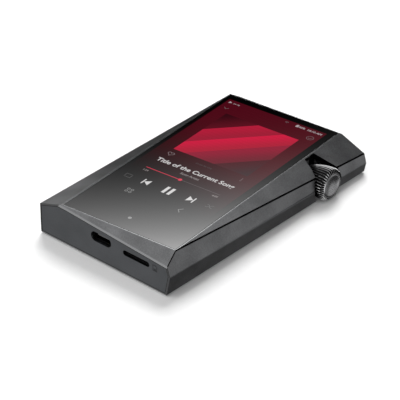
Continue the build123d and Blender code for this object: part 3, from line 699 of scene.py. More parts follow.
@dataclass
class CaseShell:
    """The milled frame: blasted facets, polished bevels and a wheel pocket painted black as shade."""

    nodes: Dict[str, bpy.types.Object]
    facet_area: float = 60 * MM * MM
    pocket_low: Tuple[float, float] = (19.0 * MM, 22.0 * MM)
    pocket_high: Tuple[float, float] = (32.0 * MM, 42.5 * MM)
    front: ScreenPlane = field(default_factory=ScreenPlane)
    rim_match: float = 0.9999
    ridge_match: float = 0.93
    middle: Tuple[float, float, float] = (0.0, 0.0, 6 * MM)
    crease_low: Tuple[float, float] = (0.25, 0.30)
    crease_high: Tuple[float, float] = (0.80, 0.95)

    def build(self) -> bpy.types.Object:
        """Copy the frame's mesh, merge it and dress its faces by what they are.

        A face is part of a facet if all faces that share its direction and its distance from the
        origin add up to more than facet_area. Other faces are bevels, or the pocket's walls
        where they lie beside the wheel. The pocket's walls and inward-facing bevels take a
        near-black finish that is painted shade.

        Returns:
            The frame's piece.
        """
        mesh = self.nodes["case_frame"].data.copy()
        work = bmesh.new()
        work.from_mesh(mesh)
        bmesh.ops.remove_doubles(work, verts=work.verts, dist=2e-6)
        bmesh.ops.dissolve_limit(work, angle_limit=math.radians(0.2), verts=work.verts, edges=work.edges)
        work.to_mesh(mesh)
        work.free()
        piece = bpy.data.objects.new("case_shell", mesh)
        bpy.context.scene.collection.objects.link(piece)
        mesh.materials.clear()
        for finish in (BLASTED, POLISHED, POCKET_SHADE, RIM, CREASE_SHADE):
            mesh.materials.append(finish.material())
        mesh.polygons.foreach_set("material_index", self.face_kinds(mesh))
        smooth(piece, 12.0)
        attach(piece, Body.CASE.value)
        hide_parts("case_frame")
        log.info("piece %s", piece.name)
        return piece

    def face_kinds(self, mesh: bpy.types.Mesh) -> np.ndarray:
        """Sort faces into facets (0), bevels (1), pocket walls (2), glass rim (3) and creases (4).

        The glass rim faces along the screen's normal. A crease is a bevel between a wedge and the
        right side, so it leans towards +X and up; creases are painted dark as shade.

        Args:
            mesh: the merged frame.

        Returns:
            One material number per face.
        """
        count = len(mesh.polygons)
        normal = np.zeros(count * 3)
        centre = np.zeros(count * 3)
        area = np.zeros(count)
        mesh.polygons.foreach_get("normal", normal)
        mesh.polygons.foreach_get("center", centre)
        mesh.polygons.foreach_get("area", area)
        normal = normal.reshape(-1, 3)
        centre = centre.reshape(-1, 3)
        level = (normal * centre).sum(1) / MM
        keys = np.round(np.column_stack([normal * 40, level * 4])).astype(int)
        _, group = np.unique(keys, axis=0, return_inverse=True)
        total = np.bincount(group.ravel(), weights=area)[group.ravel()]
        facet = total > self.facet_area
        beside = (centre[:, 0] > self.pocket_low[0]) & (centre[:, 0] < self.pocket_high[0])
        beside &= (centre[:, 1] > self.pocket_low[1]) & (centre[:, 1] < self.pocket_high[1])
        # Faces beside the wheel take the near-black pocket finish as painted shade.
        kinds = np.where(facet, 0, np.where(beside, 2, 1))
        # Crease bevels take the dark finish as painted shade.
        crease = (kinds == 1) & (normal[:, 0] > self.crease_low[0]) & (normal[:, 0] < self.crease_high[0])
        crease &= (normal[:, 2] > self.crease_low[1]) & (normal[:, 2] < self.crease_high[1])
        kinds[crease & (centre[:, 0] > 20 * MM)] = 4
        kinds[(kinds == 1) & (normal[:, 0] > self.ridge_match)] = 0
        # Inward-facing bevels also take the near-black finish as painted shade.
        inward = (normal * (centre - np.array(self.middle))).sum(1) < 0
        kinds[(kinds == 1) & inward] = 2
        kinds[normal @ np.array(self.front.out) > self.rim_match] = 3
        return kinds.astype(np.int32)


@dataclass
class Screen:
    """Polished pane with its black print, and the lit player page bonded to it."""

    nodes: Dict[str, bpy.types.Object]
    plane: ScreenPlane = field(default_factory=ScreenPlane)
    pane_half_width: float = 24.2
    pane_half_length: float = 50.7
    middle: float = -0.55
    lit_half_width: float = 22.0
    lit_top: float = 47.8
    lit_bottom: float = -31.9
    base_depth: float = -0.004
    base_bottom: float = 0.02
    layer: float = 0.003
    font_cap: float = 0.70

    def build(self) -> None:
        """Build the pane's finish, the display's picture and every mark on the page."""
        paint_nodes(self.nodes, ["cover_glass"], BlackGlass("black_pane"))
        self.build_backdrop()
        self.build_artwork()
        self.build_status_bar()
        self.build_track_lines()
        self.build_controls()

    def shapes(self, layer: int = 2) -> Shapes:
        """Empty collection of shapes, a number of layers above the page's background."""
        return Shapes(self.plane, self.base_depth - layer * self.layer, self.base_bottom)

    def lit(self, shapes: Shapes, name: str, finish: Lit) -> bpy.types.Object:
        """Build shapes as a lit piece of the display."""
        return finish_piece(shapes.build(name), finish.material(), Body.CASE)

    def rectangle(self, left: float, right: float, low: float, high: float) -> List[Point]:
        """Corners of an upright rectangle."""
        return [(left, low), (right, low), (right, high), (left, high)]

    def build_backdrop(self) -> None:
        """Page background: maroon that darkens to black below the track lines."""
        shapes = Shapes(self.plane, self.base_depth, self.base_bottom)
        left = self.middle - self.lit_half_width
        right = self.middle + self.lit_half_width
        shapes.polygon(self.rectangle(left, right, self.lit_bottom, self.lit_top))
        finish = Lit(
            "page_background",
            (0.074, 0.0026, 0.0085),
            (0.0006, 0.0006, 0.0006),
            start=tuple(self.plane.point(7, 27)),
            end=tuple(self.plane.point(-9, -24)),
        )
        self.lit(shapes, "page_background", finish)

    def build_artwork(self) -> None:
        """Cover picture: plain diagonal bands in reds across a square.

        With u to the right and v downwards in the unit square, a band lies between the lines
        u + v = start and u + v = end.
        """
        left, right, low, high = -17.0, 15.7, 4.3, 37.7
        bands = (
            (0.0, 0.45, (0.030, 0.002, 0.005), (0.10, 0.004, 0.012)),
            (0.45, 0.80, (0.46, 0.010, 0.040), (0.34, 0.010, 0.034)),
            (0.80, 1.15, (0.62, 0.009, 0.050), (0.42, 0.010, 0.036)),
            (1.15, 1.55, (0.30, 0.010, 0.036), (0.16, 0.008, 0.022)),
            (1.55, 2.0, (0.070, 0.006, 0.012), (0.035, 0.010, 0.014)),
        )

        def spot(u: float, v: float) -> Point:
            """Place on the display of a place in the unit square."""
            return (left + u * (right - left), high - v * (high - low))

        for index, (start, end, first, second) in enumerate(bands, 1):
            upper = [(min(line, 1.0), max(line - 1.0, 0.0)) for line in (start, end)]
            lower = [(v, u) for u, v in reversed(upper)]
            if start < 1.0 < end:
                upper.insert(1, (1.0, 0.0))
                lower.insert(1, (0.0, 1.0))
            outline = [spot(u, v) for u, v in dict.fromkeys(upper + lower)]
            name = f"cover_band_{index}"
            near, far = self.at(*spot(start / 2, start / 2)), self.at(*spot(end / 2, end / 2))
            self.lit(self.shapes(1).polygon(outline), name, Lit(name, first, second, near, far))

    def at(self, across: float, along: float) -> Tuple[float, float, float]:
        """Place on the display as plain numbers."""
        return tuple(self.plane.point(across, along))

    def text(
        self, words: str, name: str, at: Point, height: float, finish: Lit, weight: float = 0.0
    ) -> None:
        """Lay a line of generic text on the page, centred on a place.

        Args:
            words: the text.
            name: the piece's name.
            at: centre, across and along.
            height: height of its capitals in millimetres.
            finish: its colour.
            weight: how far the letters are thickened, as a share of their height.
        """
        curve = bpy.data.curves.new(name, "FONT")
        curve.body = words
        curve.align_x = "CENTER"
        curve.size = height * MM / self.font_cap
        curve.offset = weight * height * MM
        curve.extrude = 0.004 * MM
        curve.resolution_u = 3
        source = bpy.data.objects.new(name + "_curve", curve)
        bpy.context.scene.collection.objects.link(source)
        bpy.context.view_layer.update()
        mesh = bpy.data.meshes.new_from_object(source.evaluated_get(bpy.context.evaluated_depsgraph_get()))
        bpy.data.objects.remove(source)
        place = Matrix.Translation(Vector((at[0], at[1] - height / 2, 2 * self.layer)) * MM)
        mesh.transform(self.plane.matrix() @ place)
        mesh.name = name
        piece = bpy.data.objects.new(name, mesh)
        bpy.context.scene.collection.objects.link(piece)
        finish_piece(piece, finish.material(), Body.CASE)

    def build_status_bar(self) -> None:
        """Small marks along the top, the fold-down arrow and the details ring."""
        pale = Lit("mark_pale", (0.42, 0.36, 0.38))
        soft = Lit("mark_soft", (0.16, 0.11, 0.12))
        top = 46.0
        small = self.shapes()
        small.polygon([(-21.3, top - 1.0), (-21.3, top + 0.6), (-20.0, top - 0.2)])
        small.polygon(self.rectangle(8.9, 10.0, top - 0.7, top + 0.8))
        small.polygon(self.rectangle(9.2, 9.7, top + 0.8, top + 1.05))
        self.lit(small, "status_marks", pale)
        ring = self.shapes()
        ring.stroke(arc((18.2, 41.4), 1.35, 0, 345, 24), 0.22, closed=True)
        ring.stroke([(17.6, 41.3), (18.1, 40.8), (18.9, 42.0)], 0.22)
        ring.stroke([(-20.5, 41.6), (-19.5, 40.6), (-18.5, 41.6)], 0.24)
        ring.stroke(arc((4.7, top - 0.7), 1.2, 50, 130, 8), 0.22)
        ring.stroke(arc((4.7, top - 0.7), 0.6, 50, 130, 6), 0.22)
        self.lit(ring, "status_rings", soft)
        self.text("24-96", "status_rate", (-17.9, top - 0.2), 0.9, pale)
        self.text("100%  10:10 AM", "status_clock", (14.9, top), 1.15, pale, weight=0.04)

    def build_track_lines(self) -> None:
        """Title, artist, format, heart, menu dots, progress bar and times."""
        white = Lit("text_white", (0.62, 0.60, 0.60))
        grey = Lit("text_grey", (0.24, 0.21, 0.21))
        faint = Lit("text_faint", (0.07, 0.055, 0.058))
        self.text("Title of the Current Song", "track_title", (-0.5, -4.8), 2.3, white, weight=0.03)
        self.text("Song Artist", "track_artist", (-0.6, -8.2), 1.25, grey, weight=0.03)
        self.text("24 bit 96 kHz", "track_format", (-0.9, 0.9), 0.9, faint)
        self.text("1:24", "time_left", (-15.9, -14.1), 1.0, grey, weight=0.03)
        self.text("4:05", "time_right", (14.5, -13.9), 1.0, grey, weight=0.03)
        marks = self.shapes()
        marks.stroke(self.heart((-15.6, 0.8), 1.3), 0.26, closed=True)
        for step in (-1.0, 0.0, 1.0):
            marks.polygon(arc((15.4, 1.1 + step * 0.8), 0.22, 0, 330, 12))
        self.lit(marks, "track_marks", Lit("mark_rose", (0.20, 0.15, 0.16)))
        played = self.shapes(3)
        played.stroke([(-17.0, -12.2), (-2.0, -12.2)], 0.30)
        played.polygon(arc((-2.0, -12.2), 0.78, 0, 345, 24))
        self.lit(played, "progress_played", Lit("progress_red", (0.72, 0.035, 0.080)))
        left = self.shapes()
        left.stroke([(-1.2, -12.2), (15.5, -12.2)], 0.22)
        self.lit(left, "progress_left", Lit("progress_grey", (0.10, 0.08, 0.085)))

    def heart(self, centre: Point, size: float) -> List[Point]:
        """Heart outline: x = sin cubed, y = a sum of four cosines of the same angle."""
        angles = np.linspace(0, 2 * math.pi, 28, endpoint=False)
        x = np.sin(angles) ** 3
        y = (
            13 * np.cos(angles) - 5 * np.cos(2 * angles) - 2 * np.cos(3 * angles) - np.cos(4 * angles)
        ) / 16
        return [(centre[0] + size * a, centre[1] + size * b) for a, b in zip(x, y)]

    def build_controls(self) -> None:
        """Play controls, the row of small marks under them and the home dot."""
        row = -20.9
        white = self.shapes()
        for side in (-1.0, 1.0):
            white.polygon(
                self.rectangle(-0.7 + side * 1.15 - 0.6, -0.7 + side * 1.15 + 0.6, row - 2.3, row + 2.3)
            )
        for centre, way in ((-10.5, -1.0), (9.1, 1.0)):
            white.polygon([(centre - way * 1.4, row + 1.7), (centre + way * 0.9, row), (centre - way * 1.4, row - 1.7)])
            white.polygon(
                self.rectangle(*sorted((centre + way * 0.95, centre + way * 1.45)), row - 1.7, row + 1.7)
            )
        self.lit(white, "control_marks", Lit("control_white", (0.66, 0.65, 0.65)))
        grey = self.shapes()
        grey.stroke([(-19.7, row - 0.7), (-19.7, row + 0.9), (-17.1, row + 0.9)], 0.22)
        grey.stroke([(-17.1, row + 0.4), (-17.1, row - 1.2), (-19.7, row - 1.2)], 0.22)
        grey.stroke([(15.6, row + 0.9), (16.4, row + 0.9), (17.7, row - 0.7), (18.5, row - 0.7)], 0.22)
        grey.stroke([(15.6, row - 0.7), (16.4, row - 0.7), (17.7, row + 0.9), (18.5, row + 0.9)], 0.22)
        self.lit(grey, "mode_marks", Lit("mode_grey", (0.085, 0.085, 0.085)))
        low = self.shapes()
        for x in (-12.7, -11.1):
            for y in (-29.9, -28.3):
                low.stroke(arc((x, y), 0.5, 0, 330, 12), 0.26, closed=True)
        low.stroke([(10.9, -27.7), (9.6, -29.1), (10.9, -30.5)], 0.3)
        self.lit(low, "page_marks", Lit("page_grey", (0.20, 0.20, 0.20)))
        home = self.shapes()
        home.polygon(arc((-0.5, -43.8), 0.72, 0, 345, 24))
        self.lit(home, "home_dot", Lit("home_grey", (0.22, 0.22, 0.22)))


@dataclass
class VolumeWheel:
    """Knurled wheel that flares outwards, with a spun dish in its face."""

    nodes: Dict[str, bpy.types.Object]
    teeth: int = 36
    steps: int = 16
    knurl: float = 0.075
    bore: float = 1.56 * MM
    bore_end: float = 30.1 * MM
    recess_x: float = 32.2 * MM
    recess_radius: float = 4.53 * MM
    face_radius: float = 4.95 * MM
    rim_radius: float = 6.2 * MM
    rim_x: float = 32.35 * MM
    barrel: Tuple[Tuple[float, float], ...] = (
        (31.95, 6.20), (31.2, 6.28), (30.0, 6.18), (28.0, 5.88), (26.0, 5.38), (24.0, 4.78), (22.25, 4.10),
    )
    dish_radius: float = 3.95 * MM
    dish_depth: float = 0.75 * MM

    def build(self) -> None:
        """Build the wheel and its cap about the shaft's axis."""
        low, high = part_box("encoder_shaft")
        self.axis = (low + high) / 2
        self.build_wheel()
        self.build_cap()

    def build_wheel(self) -> None:
        """Wheel: the radius is the profile's, less a ridge wave times the knurl's depth.

        The ridge wave is a triangle wave of the angle raised to a power under one, so crests
        are narrow and grooves are wide, and it fades out on the smooth parts of the profile.
        """
        low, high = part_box("volume_knob")
        face_x = high.x
        profile = [
            (self.recess_x, 0.0, 0.0),
            (self.recess_x, self.recess_radius, 0.0),
            (face_x - 0.08 * MM, self.recess_radius, 0.0),
            (face_x - 0.01 * MM, self.recess_radius + 0.06 * MM, 0.0),
            (face_x - 0.01 * MM, self.face_radius - 0.10 * MM, 0.0),
            (face_x - 0.06 * MM, self.face_radius + 0.02 * MM, 0.5),
            (face_x - 0.25 * MM, self.face_radius + 0.36 * MM, 1.0),
            (self.rim_x + 0.12 * MM, self.rim_radius - 0.24 * MM, 1.0),
            (self.rim_x + 0.02 * MM, self.rim_radius - 0.08 * MM, 1.0),
            (self.rim_x - 0.06 * MM, self.rim_radius - 0.03 * MM, 1.0),
        ]
        profile += [(x * MM, radius * MM, 1.0) for x, radius in self.barrel]
        inner = self.barrel[-1][1] * MM
        profile += [
            (low.x + 0.02 * MM, inner - 0.25 * MM, 0.6),
            (low.x + 0.02 * MM, self.bore, 0.0),
            (self.bore_end, self.bore, 0.0),
            (self.bore_end, 0.0, 0.0),
        ]
        x, radius, strength = (np.array(column) for column in zip(*profile))
        angles = np.linspace(0, 2 * math.pi, self.teeth * self.steps, endpoint=False)
        radii = radius[:, None] * (1 - self.knurl * strength[:, None] * self.groove(angles)[None, :])
        piece = turned_x("knurled_wheel", x, radii, angles, self.axis)
        smooth(piece, 24.0)
        # Crest colour on the teeth, near-black groove colour as painted shade in the knurl.
        finish = Knurled("wheel_metal", (0.52, 0.52, 0.525), (0.010, 0.010, 0.010), 0.20)
        finish.mark(piece, self.hollow(piece))
        finish_piece(piece, finish.material(), Body.WHEEL)
        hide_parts("volume_knob")

    def groove(self, angles: np.ndarray) -> np.ndarray:
        """Depth of the knurl at each angle: 0 on a narrow crest to 1 in a groove.

        It is the distance to the nearest crest as a share of half the pitch, stretched by a
        quarter, cut off at 1 and raised to the power 0.8.
        """
        phase = (angles * self.teeth / (2 * math.pi)) % 1.0
        return np.clip((1 - np.abs(2 * phase - 1)) * 1.25, 0.0, 1.0) ** 0.8

    def hollow(self, piece: bpy.types.Object) -> np.ndarray:
        """Groove depth at each point of the wheel: the knurl's, faded out on its smooth parts."""
        points = np.zeros(len(piece.data.vertices) * 3)
        piece.data.vertices.foreach_get("co", points)
        offset = points.reshape(-1, 3) - np.array(self.axis)
        reach = np.hypot(offset[:, 1], offset[:, 2])
        knurled = np.clip((reach / self.face_radius - 0.90) / 0.05, 0.0, 1.0)
        barrel = points.reshape(-1, 3)[:, 0] < self.recess_x - self.dish_depth
        knurled = np.maximum(knurled, barrel & (reach > self.bore * 1.5))
        return knurled * self.groove(np.arctan2(offset[:, 2], offset[:, 1]))

    def build_cap(self) -> None:
        """Dished disc: the face is a circular arc from the centre up to a rounded lip."""
        low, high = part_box("knob_cap")
        radius = (high.y - low.y) / 2
        dish = self.dish_radius
        ball = (dish**2 + self.dish_depth**2) / (2 * self.dish_depth)
        reach = np.linspace(0, dish, 26)
        face_x = high.x - self.dish_depth + ball - np.sqrt(ball**2 - reach**2)
        drops = np.array([0.0, 0.05, 0.12, 0.22]) * MM
        x = np.concatenate([face_x, high.x - drops, [low.x, low.x]])
        rim = [dish + 0.10 * MM, dish + 0.26 * MM, dish + 0.41 * MM, radius, radius, 0.0]
        profile = np.concatenate([reach, rim])
        angles = np.linspace(0, 2 * math.pi, 128, endpoint=False)
        radii = np.repeat(profile[:, None], len(angles), axis=1)
        piece = turned_x("dished_cap", x, radii, angles, self.axis)
        smooth(piece, 40.0)
        finish = Metal(
            "spun_cap", (0.25, 0.25, 0.255), 0.26, grain=0.05 * MM, depth=1e-6, wave=Wave.SPUN,
            centre=tuple(self.axis), mottle=0.1,
        )
        finish_piece(piece, finish.material(), Body.WHEEL)
        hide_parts("knob_cap")


@dataclass
class Fittings:
    """CAD nodes that keep their shape and only take a finish."""

    nodes: Dict[str, bpy.types.Object]

    def build(self) -> None:
        """Paint every node that is carried over."""
        paint_nodes(self.nodes, ["bottom_end_plate", "top_end_plate"], END_PLATE)
        rear = Metal("rear_satin", (0.11, 0.112, 0.116), 0.42, mottle=0.12)
        paint_nodes(self.nodes, ["rear_cover"], rear)
        keys = Metal("key_satin", (0.16, 0.162, 0.166), 0.30, mottle=0.1)
        paint_nodes(self.nodes, ["power_button", "next_button", "play_button", "previous_button"], keys)
        rings = [name for name in self.nodes if name.endswith("_ring")]
        paint_nodes(
            self.nodes, rings, Metal("ring_gold", (0.72, 0.52, 0.24), 0.22, depth=4e-7, mottle=0.05)
        )
        contacts = ["usb_c_contacts", "card_contacts", "key_domes", "encoder_rotor"]
        paint_nodes(self.nodes, contacts, Metal("contact_gold", (0.70, 0.50, 0.22), 0.28, mottle=0.08))
        steel = [
            "display_tray", "mid_plate", "processor_shield", "converter_shield",
            "amplifier_shield", "card_spring", "encoder_shaft", "frame_screws", "board_screws",
        ]
        paint_nodes(self.nodes, steel, Metal("bright_steel", (0.42, 0.42, 0.43), 0.32, mottle=0.1))
        paint_nodes(self.nodes, ["encoder_bush"], Metal("turned_brass", (0.60, 0.42, 0.18), 0.3))
        paint_nodes(self.nodes, ["battery_cell"], Metal("pouch_foil", (0.55, 0.55, 0.56), 0.42, grain=0.6 * MM, depth=6e-6))
        plastics = [
            "card_base", "card_slider", "battery_connector", "power_switch", "encoder_body",
            "jack_35_housing", "jack_25_housing", "jack_44_housing",
        ]
        paint_nodes(self.nodes, plastics, Moulded("port_black", (0.012, 0.012, 0.013), 0.5))
        # Tongue painted light grey: a painted highlight for the light line inside the port.
        paint_nodes(self.nodes, ["usb_c_tongue"], Moulded("tongue_painted_highlight", (0.16, 0.16, 0.165), 0.35))
        # Port shells painted near black: painted shade inside the openings.
        paint_nodes(self.nodes, ["usb_c_shell", "card_shell"], Metal("port_steel_painted_shade", (0.035, 0.035, 0.036), 0.35, mottle=0.1))
        paint_nodes(
            self.nodes, ["board_chips"], Moulded("chip_black", (0.02, 0.02, 0.021), 0.55, grain=0.2 * MM)
        )
        boards = [
            "main_board", "jack_board", "side_key_board", "power_board", "encoder_board", "battery_board"
        ]
        board = CircuitBoard("solder_mask", (0.006, 0.03, 0.016), (0.012, 0.06, 0.03), (0.6, 0.45, 0.2))
        paint_nodes(self.nodes, boards, board)
        films = ["display_flex", "antenna", "battery_lead"]
        paint_nodes(self.nodes, films, Moulded("amber_film", (0.30, 0.11, 0.02), 0.3, coat=0.4))
        glues = ["rear_adhesive", "glass_adhesive", "battery_tape"]
        paint_nodes(self.nodes, glues, Moulded("black_tape", (0.01, 0.01, 0.01), 0.8))
        paint_nodes(self.nodes, ["touch_sensor"], Moulded("touch_film", (0.02, 0.02, 0.024), 0.2, coat=0.5))
        paint_nodes(self.nodes, ["display_panel"], Moulded("panel_back", (0.02, 0.02, 0.02), 0.3))


@dataclass
class PlateGrooveShade:
    """Black bead laid in the groove round an end plate as painted shade."""

    nodes: Dict[str, bpy.types.Object]
    inside: float = 0.12 * MM
    outside: float = 0.20 * MM
    proud: float = 0.01 * MM
    depth: float = 0.10 * MM

    def build(self) -> None:
        """Build one bead for each end plate."""
        for node, side in (("bottom_end_plate", -1.0), ("top_end_plate", 1.0)):
            self.build_bead(node, side)

    def build_bead(self, node: str, side: float) -> bpy.types.Object:
        """Ring along the convex outline of a plate's outer face.

        With the unit normals m and n of the edges that meet at a corner, the outline moved
        outwards by d has that corner at p + d (m + n) / (1 + m.n).

        Args:
            node: the plate.
            side: -1 for the bottom end, 1 for the top end.

        Returns:
            The bead's piece.
        """
        mesh = self.nodes[node].data
        points = np.zeros(len(mesh.vertices) * 3)
        mesh.vertices.foreach_get("co", points)
        points = points.reshape(-1, 3)
        face = (points[:, 1] * side).max()
        outer = points[points[:, 1] * side > face - 1e-6][:, [0, 2]]
        outline = self.hull(outer)
        edges = np.roll(outline, -1, axis=0) - outline
        after = np.column_stack([edges[:, 1], -edges[:, 0]]) / np.hypot(*edges.T)[:, None]
        before = np.roll(after, 1, axis=0)
        reach = (before + after) / (1 + (before * after).sum(1))[:, None]
        count = len(outline)
        rings = []
        for offset, level in (
            (-self.inside, self.proud), (self.outside, self.proud),
            (self.outside, -self.depth), (-self.inside, -self.depth),
        ):
            flat = outline + reach * offset
            y = np.full(count, (face + level) * side)
            rings.append(np.column_stack([flat[:, 0], y, flat[:, 1]]))
        index = np.arange(4 * count).reshape(4, count)
        ahead = np.roll(index, -1, axis=1)
        above, above_ahead = np.roll(index, -1, axis=0), np.roll(ahead, -1, axis=0)
        faces = np.stack([index, ahead, above_ahead, above], -1).reshape(-1, 4)
        piece = mesh_object(node + "_groove_shade", np.concatenate(rings), faces)
        # Near-black bead finish: painted shade in the plate's groove.
        finish = Moulded("groove_shade_black", (0.006, 0.006, 0.006), 0.6)
        return finish_piece(piece, finish.material(), Body.CASE)

    def hull(self, flat: np.ndarray) -> np.ndarray:
        """Corners of the convex outline of some flat points.

        A corner stays if its turn, the sine of the angle between the edges that meet there, is
        over 0.01. Straight ones are left out.

        Args:
            flat: the points, one in each row.

        Returns:
            The corners, counter-clockwise.
        """
        rows = np.unique(np.round(flat, 7), axis=0)
        corners = rows[convex_hull_2d(rows.tolist())]
        ahead = np.roll(corners, -1, axis=0) - corners
        behind = corners - np.roll(corners, 1, axis=0)
        across = behind[:, 0] * ahead[:, 1] - behind[:, 1] * ahead[:, 0]
        return corners[across / (np.hypot(*ahead.T) * np.hypot(*behind.T)) > 0.01]


@dataclass
class CardMark:
    """Small outline of a memory card engraved beside its slot."""

    left: float = 23.2 * MM
    right: float = 25.0 * MM
    low: float = 8.3 * MM
    high: float = 10.5 * MM
    line: float = 0.26 * MM
    thickness: float = 0.02 * MM

    def build(self) -> bpy.types.Object:
        """Build the mark as closed bars on the end plate's face.

        Returns:
            The mark's piece.
        """
        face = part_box("bottom_end_plate")[0].y
        cut = 0.5 * MM
        corners = [
            (self.left, self.low), (self.right, self.low), (self.right, self.high - cut),
            (self.right - cut, self.high), (self.left, self.high),
        ]
        verts: List[Tuple[float, float, float]] = []
        faces: List[List[int]] = []
        for index, start in enumerate(corners):
            end = corners[(index + 1) % len(corners)]
            self.bar(start, end, face, verts, faces)
        for step in (0.55, 0.95, 1.35):
            x = self.left + step * (self.right - self.left) / 1.9
            self.bar((x, self.low + 0.3 * MM), (x, self.low + 0.8 * MM), face, verts, faces)
        piece = mesh_object("card_mark", np.array(verts), faces)
        ink = Moulded("mark_ink", (0.012, 0.012, 0.013), 0.6)
        return finish_piece(piece, ink.material(), Body.CASE)

    def bar(self, start: Point, end: Point, face: float, verts: List, faces: List) -> None:
        """Add a thin bar between two places on the plate.

        Args:
            start: its first end, x and z.
            end: its other end.
            face: y of the plate's face.
            verts: points gathered so far.
            faces: faces gathered so far.
        """
        way = Vector((end[0] - start[0], 0, end[1] - start[1])).normalized() * (self.line / 2)
        side = Vector((-way.z, 0, way.x))
        a = Vector((start[0], face, start[1])) - way
        b = Vector((end[0], face, end[1])) + way
        first = len(verts)
        for y in (0.0, -self.thickness):
            for corner in (a - side, b - side, b + side, a + side):
                verts.append((corner.x, corner.y + y, corner.z))
        for quad in ((0, 1, 2, 3), (7, 6, 5, 4), (0, 4, 5, 1), (1, 5, 6, 2), (2, 6, 7, 3), (3, 7, 4, 0)):
            faces.append([first + number for number in quad])


# ---------------------------------------------------------------------------------------------
# Studio
# ---------------------------------------------------------------------------------------------


def direction(azimuth: float, elevation: float) -> Vector:
    """Unit vector towards an azimuth and elevation in degrees; azimuth 0 is towards -Y."""
    a, e = math.radians(azimuth), math.radians(elevation)
    return Vector((math.sin(a) * math.cos(e), -math.cos(a) * math.cos(e), math.sin(e)))


@dataclass(frozen=True)
class SoftGlow:
    """Round soft-edged glow in the surroundings."""

    azimuth: float
    elevation: float
    strength: float
    inner: float
    outer: float

    def light(self, graph: Graph, view: bpy.types.NodeSocket) -> bpy.types.NodeSocket:
        """Brightness of the glow: a smooth step of the angle from its middle.

        Args:
            graph: the world's graph.
            view: the direction's socket.

        Returns:
            The brightness's socket.
        """
        middle = tuple(direction(self.azimuth, self.elevation))
        cosine = graph.add("VectorMath", {0: view, 1: middle}, operation="DOT_PRODUCT").outputs["Value"]
        inner, outer = math.cos(math.radians(self.inner)), math.cos(math.radians(self.outer))
        return graph.ramp(cosine, outer, inner, 0.0, self.strength)


@dataclass(frozen=True)
class SlantedBox:
    """Wide softbox whose brightness grows steadily upwards from a slanted lower edge."""

    azimuth: float = -139.0
    elevation: float = 26.7
    slant: float = 4.5
    gain: float = 0.0180
    power: float = 4.03
    limit: float = 5.2
    half_width: float = 13.0
    blur: float = 9.0
    top: float = 9.0
    top_blur: float = 10.0

    def light(self, graph: Graph, view: bpy.types.NodeSocket) -> bpy.types.NodeSocket:
        """Brightness of the box.

        Args:
            graph: the world's graph.
            view: the direction's socket.

        Returns:
            gain times the angle above the edge in degrees to a power, up to a limit, times
            smooth steps at the sides and the top.
        """
        middle = direction(self.azimuth, self.elevation)
        level = Vector((0, 0, 1)).cross(middle).normalized()
        rise = middle.cross(level).normalized()
        slant = math.radians(self.slant)
        across = level * math.cos(slant) + rise * math.sin(slant)
        above = rise * math.cos(slant) - level * math.sin(slant)
        height = self.angle(graph, view, above)
        aside = graph.math("ABSOLUTE", self.angle(graph, view, across))
        growth = graph.math(
            "MULTIPLY", graph.math("POWER", graph.math("MAXIMUM", height, 0.0), self.power), self.gain
        )
        growth = graph.math("MINIMUM", growth, self.limit)
        sides = graph.ramp(aside, self.half_width, self.half_width + self.blur, 1.0, 0.0)
        roof = graph.ramp(height, self.top, self.top + self.top_blur, 1.0, 0.0)
        facing = graph.add(
            "VectorMath", {0: view, 1: tuple(middle)}, operation="DOT_PRODUCT"
        ).outputs["Value"]
        front = graph.math("GREATER_THAN", facing, 0.2)
        return graph.math(
            "MULTIPLY", graph.math("MULTIPLY", growth, sides), graph.math("MULTIPLY", roof, front)
        )

    def angle(self, graph: Graph, view: bpy.types.NodeSocket, axis: Vector) -> bpy.types.NodeSocket:
        """Angle of a direction towards an axis, in degrees."""
        cosine = graph.add(
            "VectorMath", {0: view, 1: tuple(axis)}, operation="DOT_PRODUCT"
        ).outputs["Value"]
        return graph.math("DEGREES", graph.math("ARCSINE", cosine))


@dataclass(frozen=True)
class Card:
    """Lit panel near the player that only its glossy surfaces see."""

    name: str
    centre: Tuple[float, float, float]
    facing: Tuple[float, float, float]
    size: Tuple[float, float]
    radiance: float

    def build(self) -> None:
        """Hang the panel, turned towards the place that it faces."""
        data = bpy.data.lights.new(self.name, "AREA")
        data.shape = "RECTANGLE"
        data.size = self.size[0] * MM
        data.size_y = self.size[1] * MM
        data.energy = self.radiance * math.pi * data.size * data.size_y
        lamp = bpy.data.objects.new(self.name, data)
        centre = Vector(self.centre) * MM
        lamp.location = centre
        lamp.rotation_euler = (Vector(self.facing) * MM - centre).to_track_quat("-Z", "Y").to_euler()
        lamp.visible_diffuse = False
        bpy.context.scene.collection.objects.link(lamp)


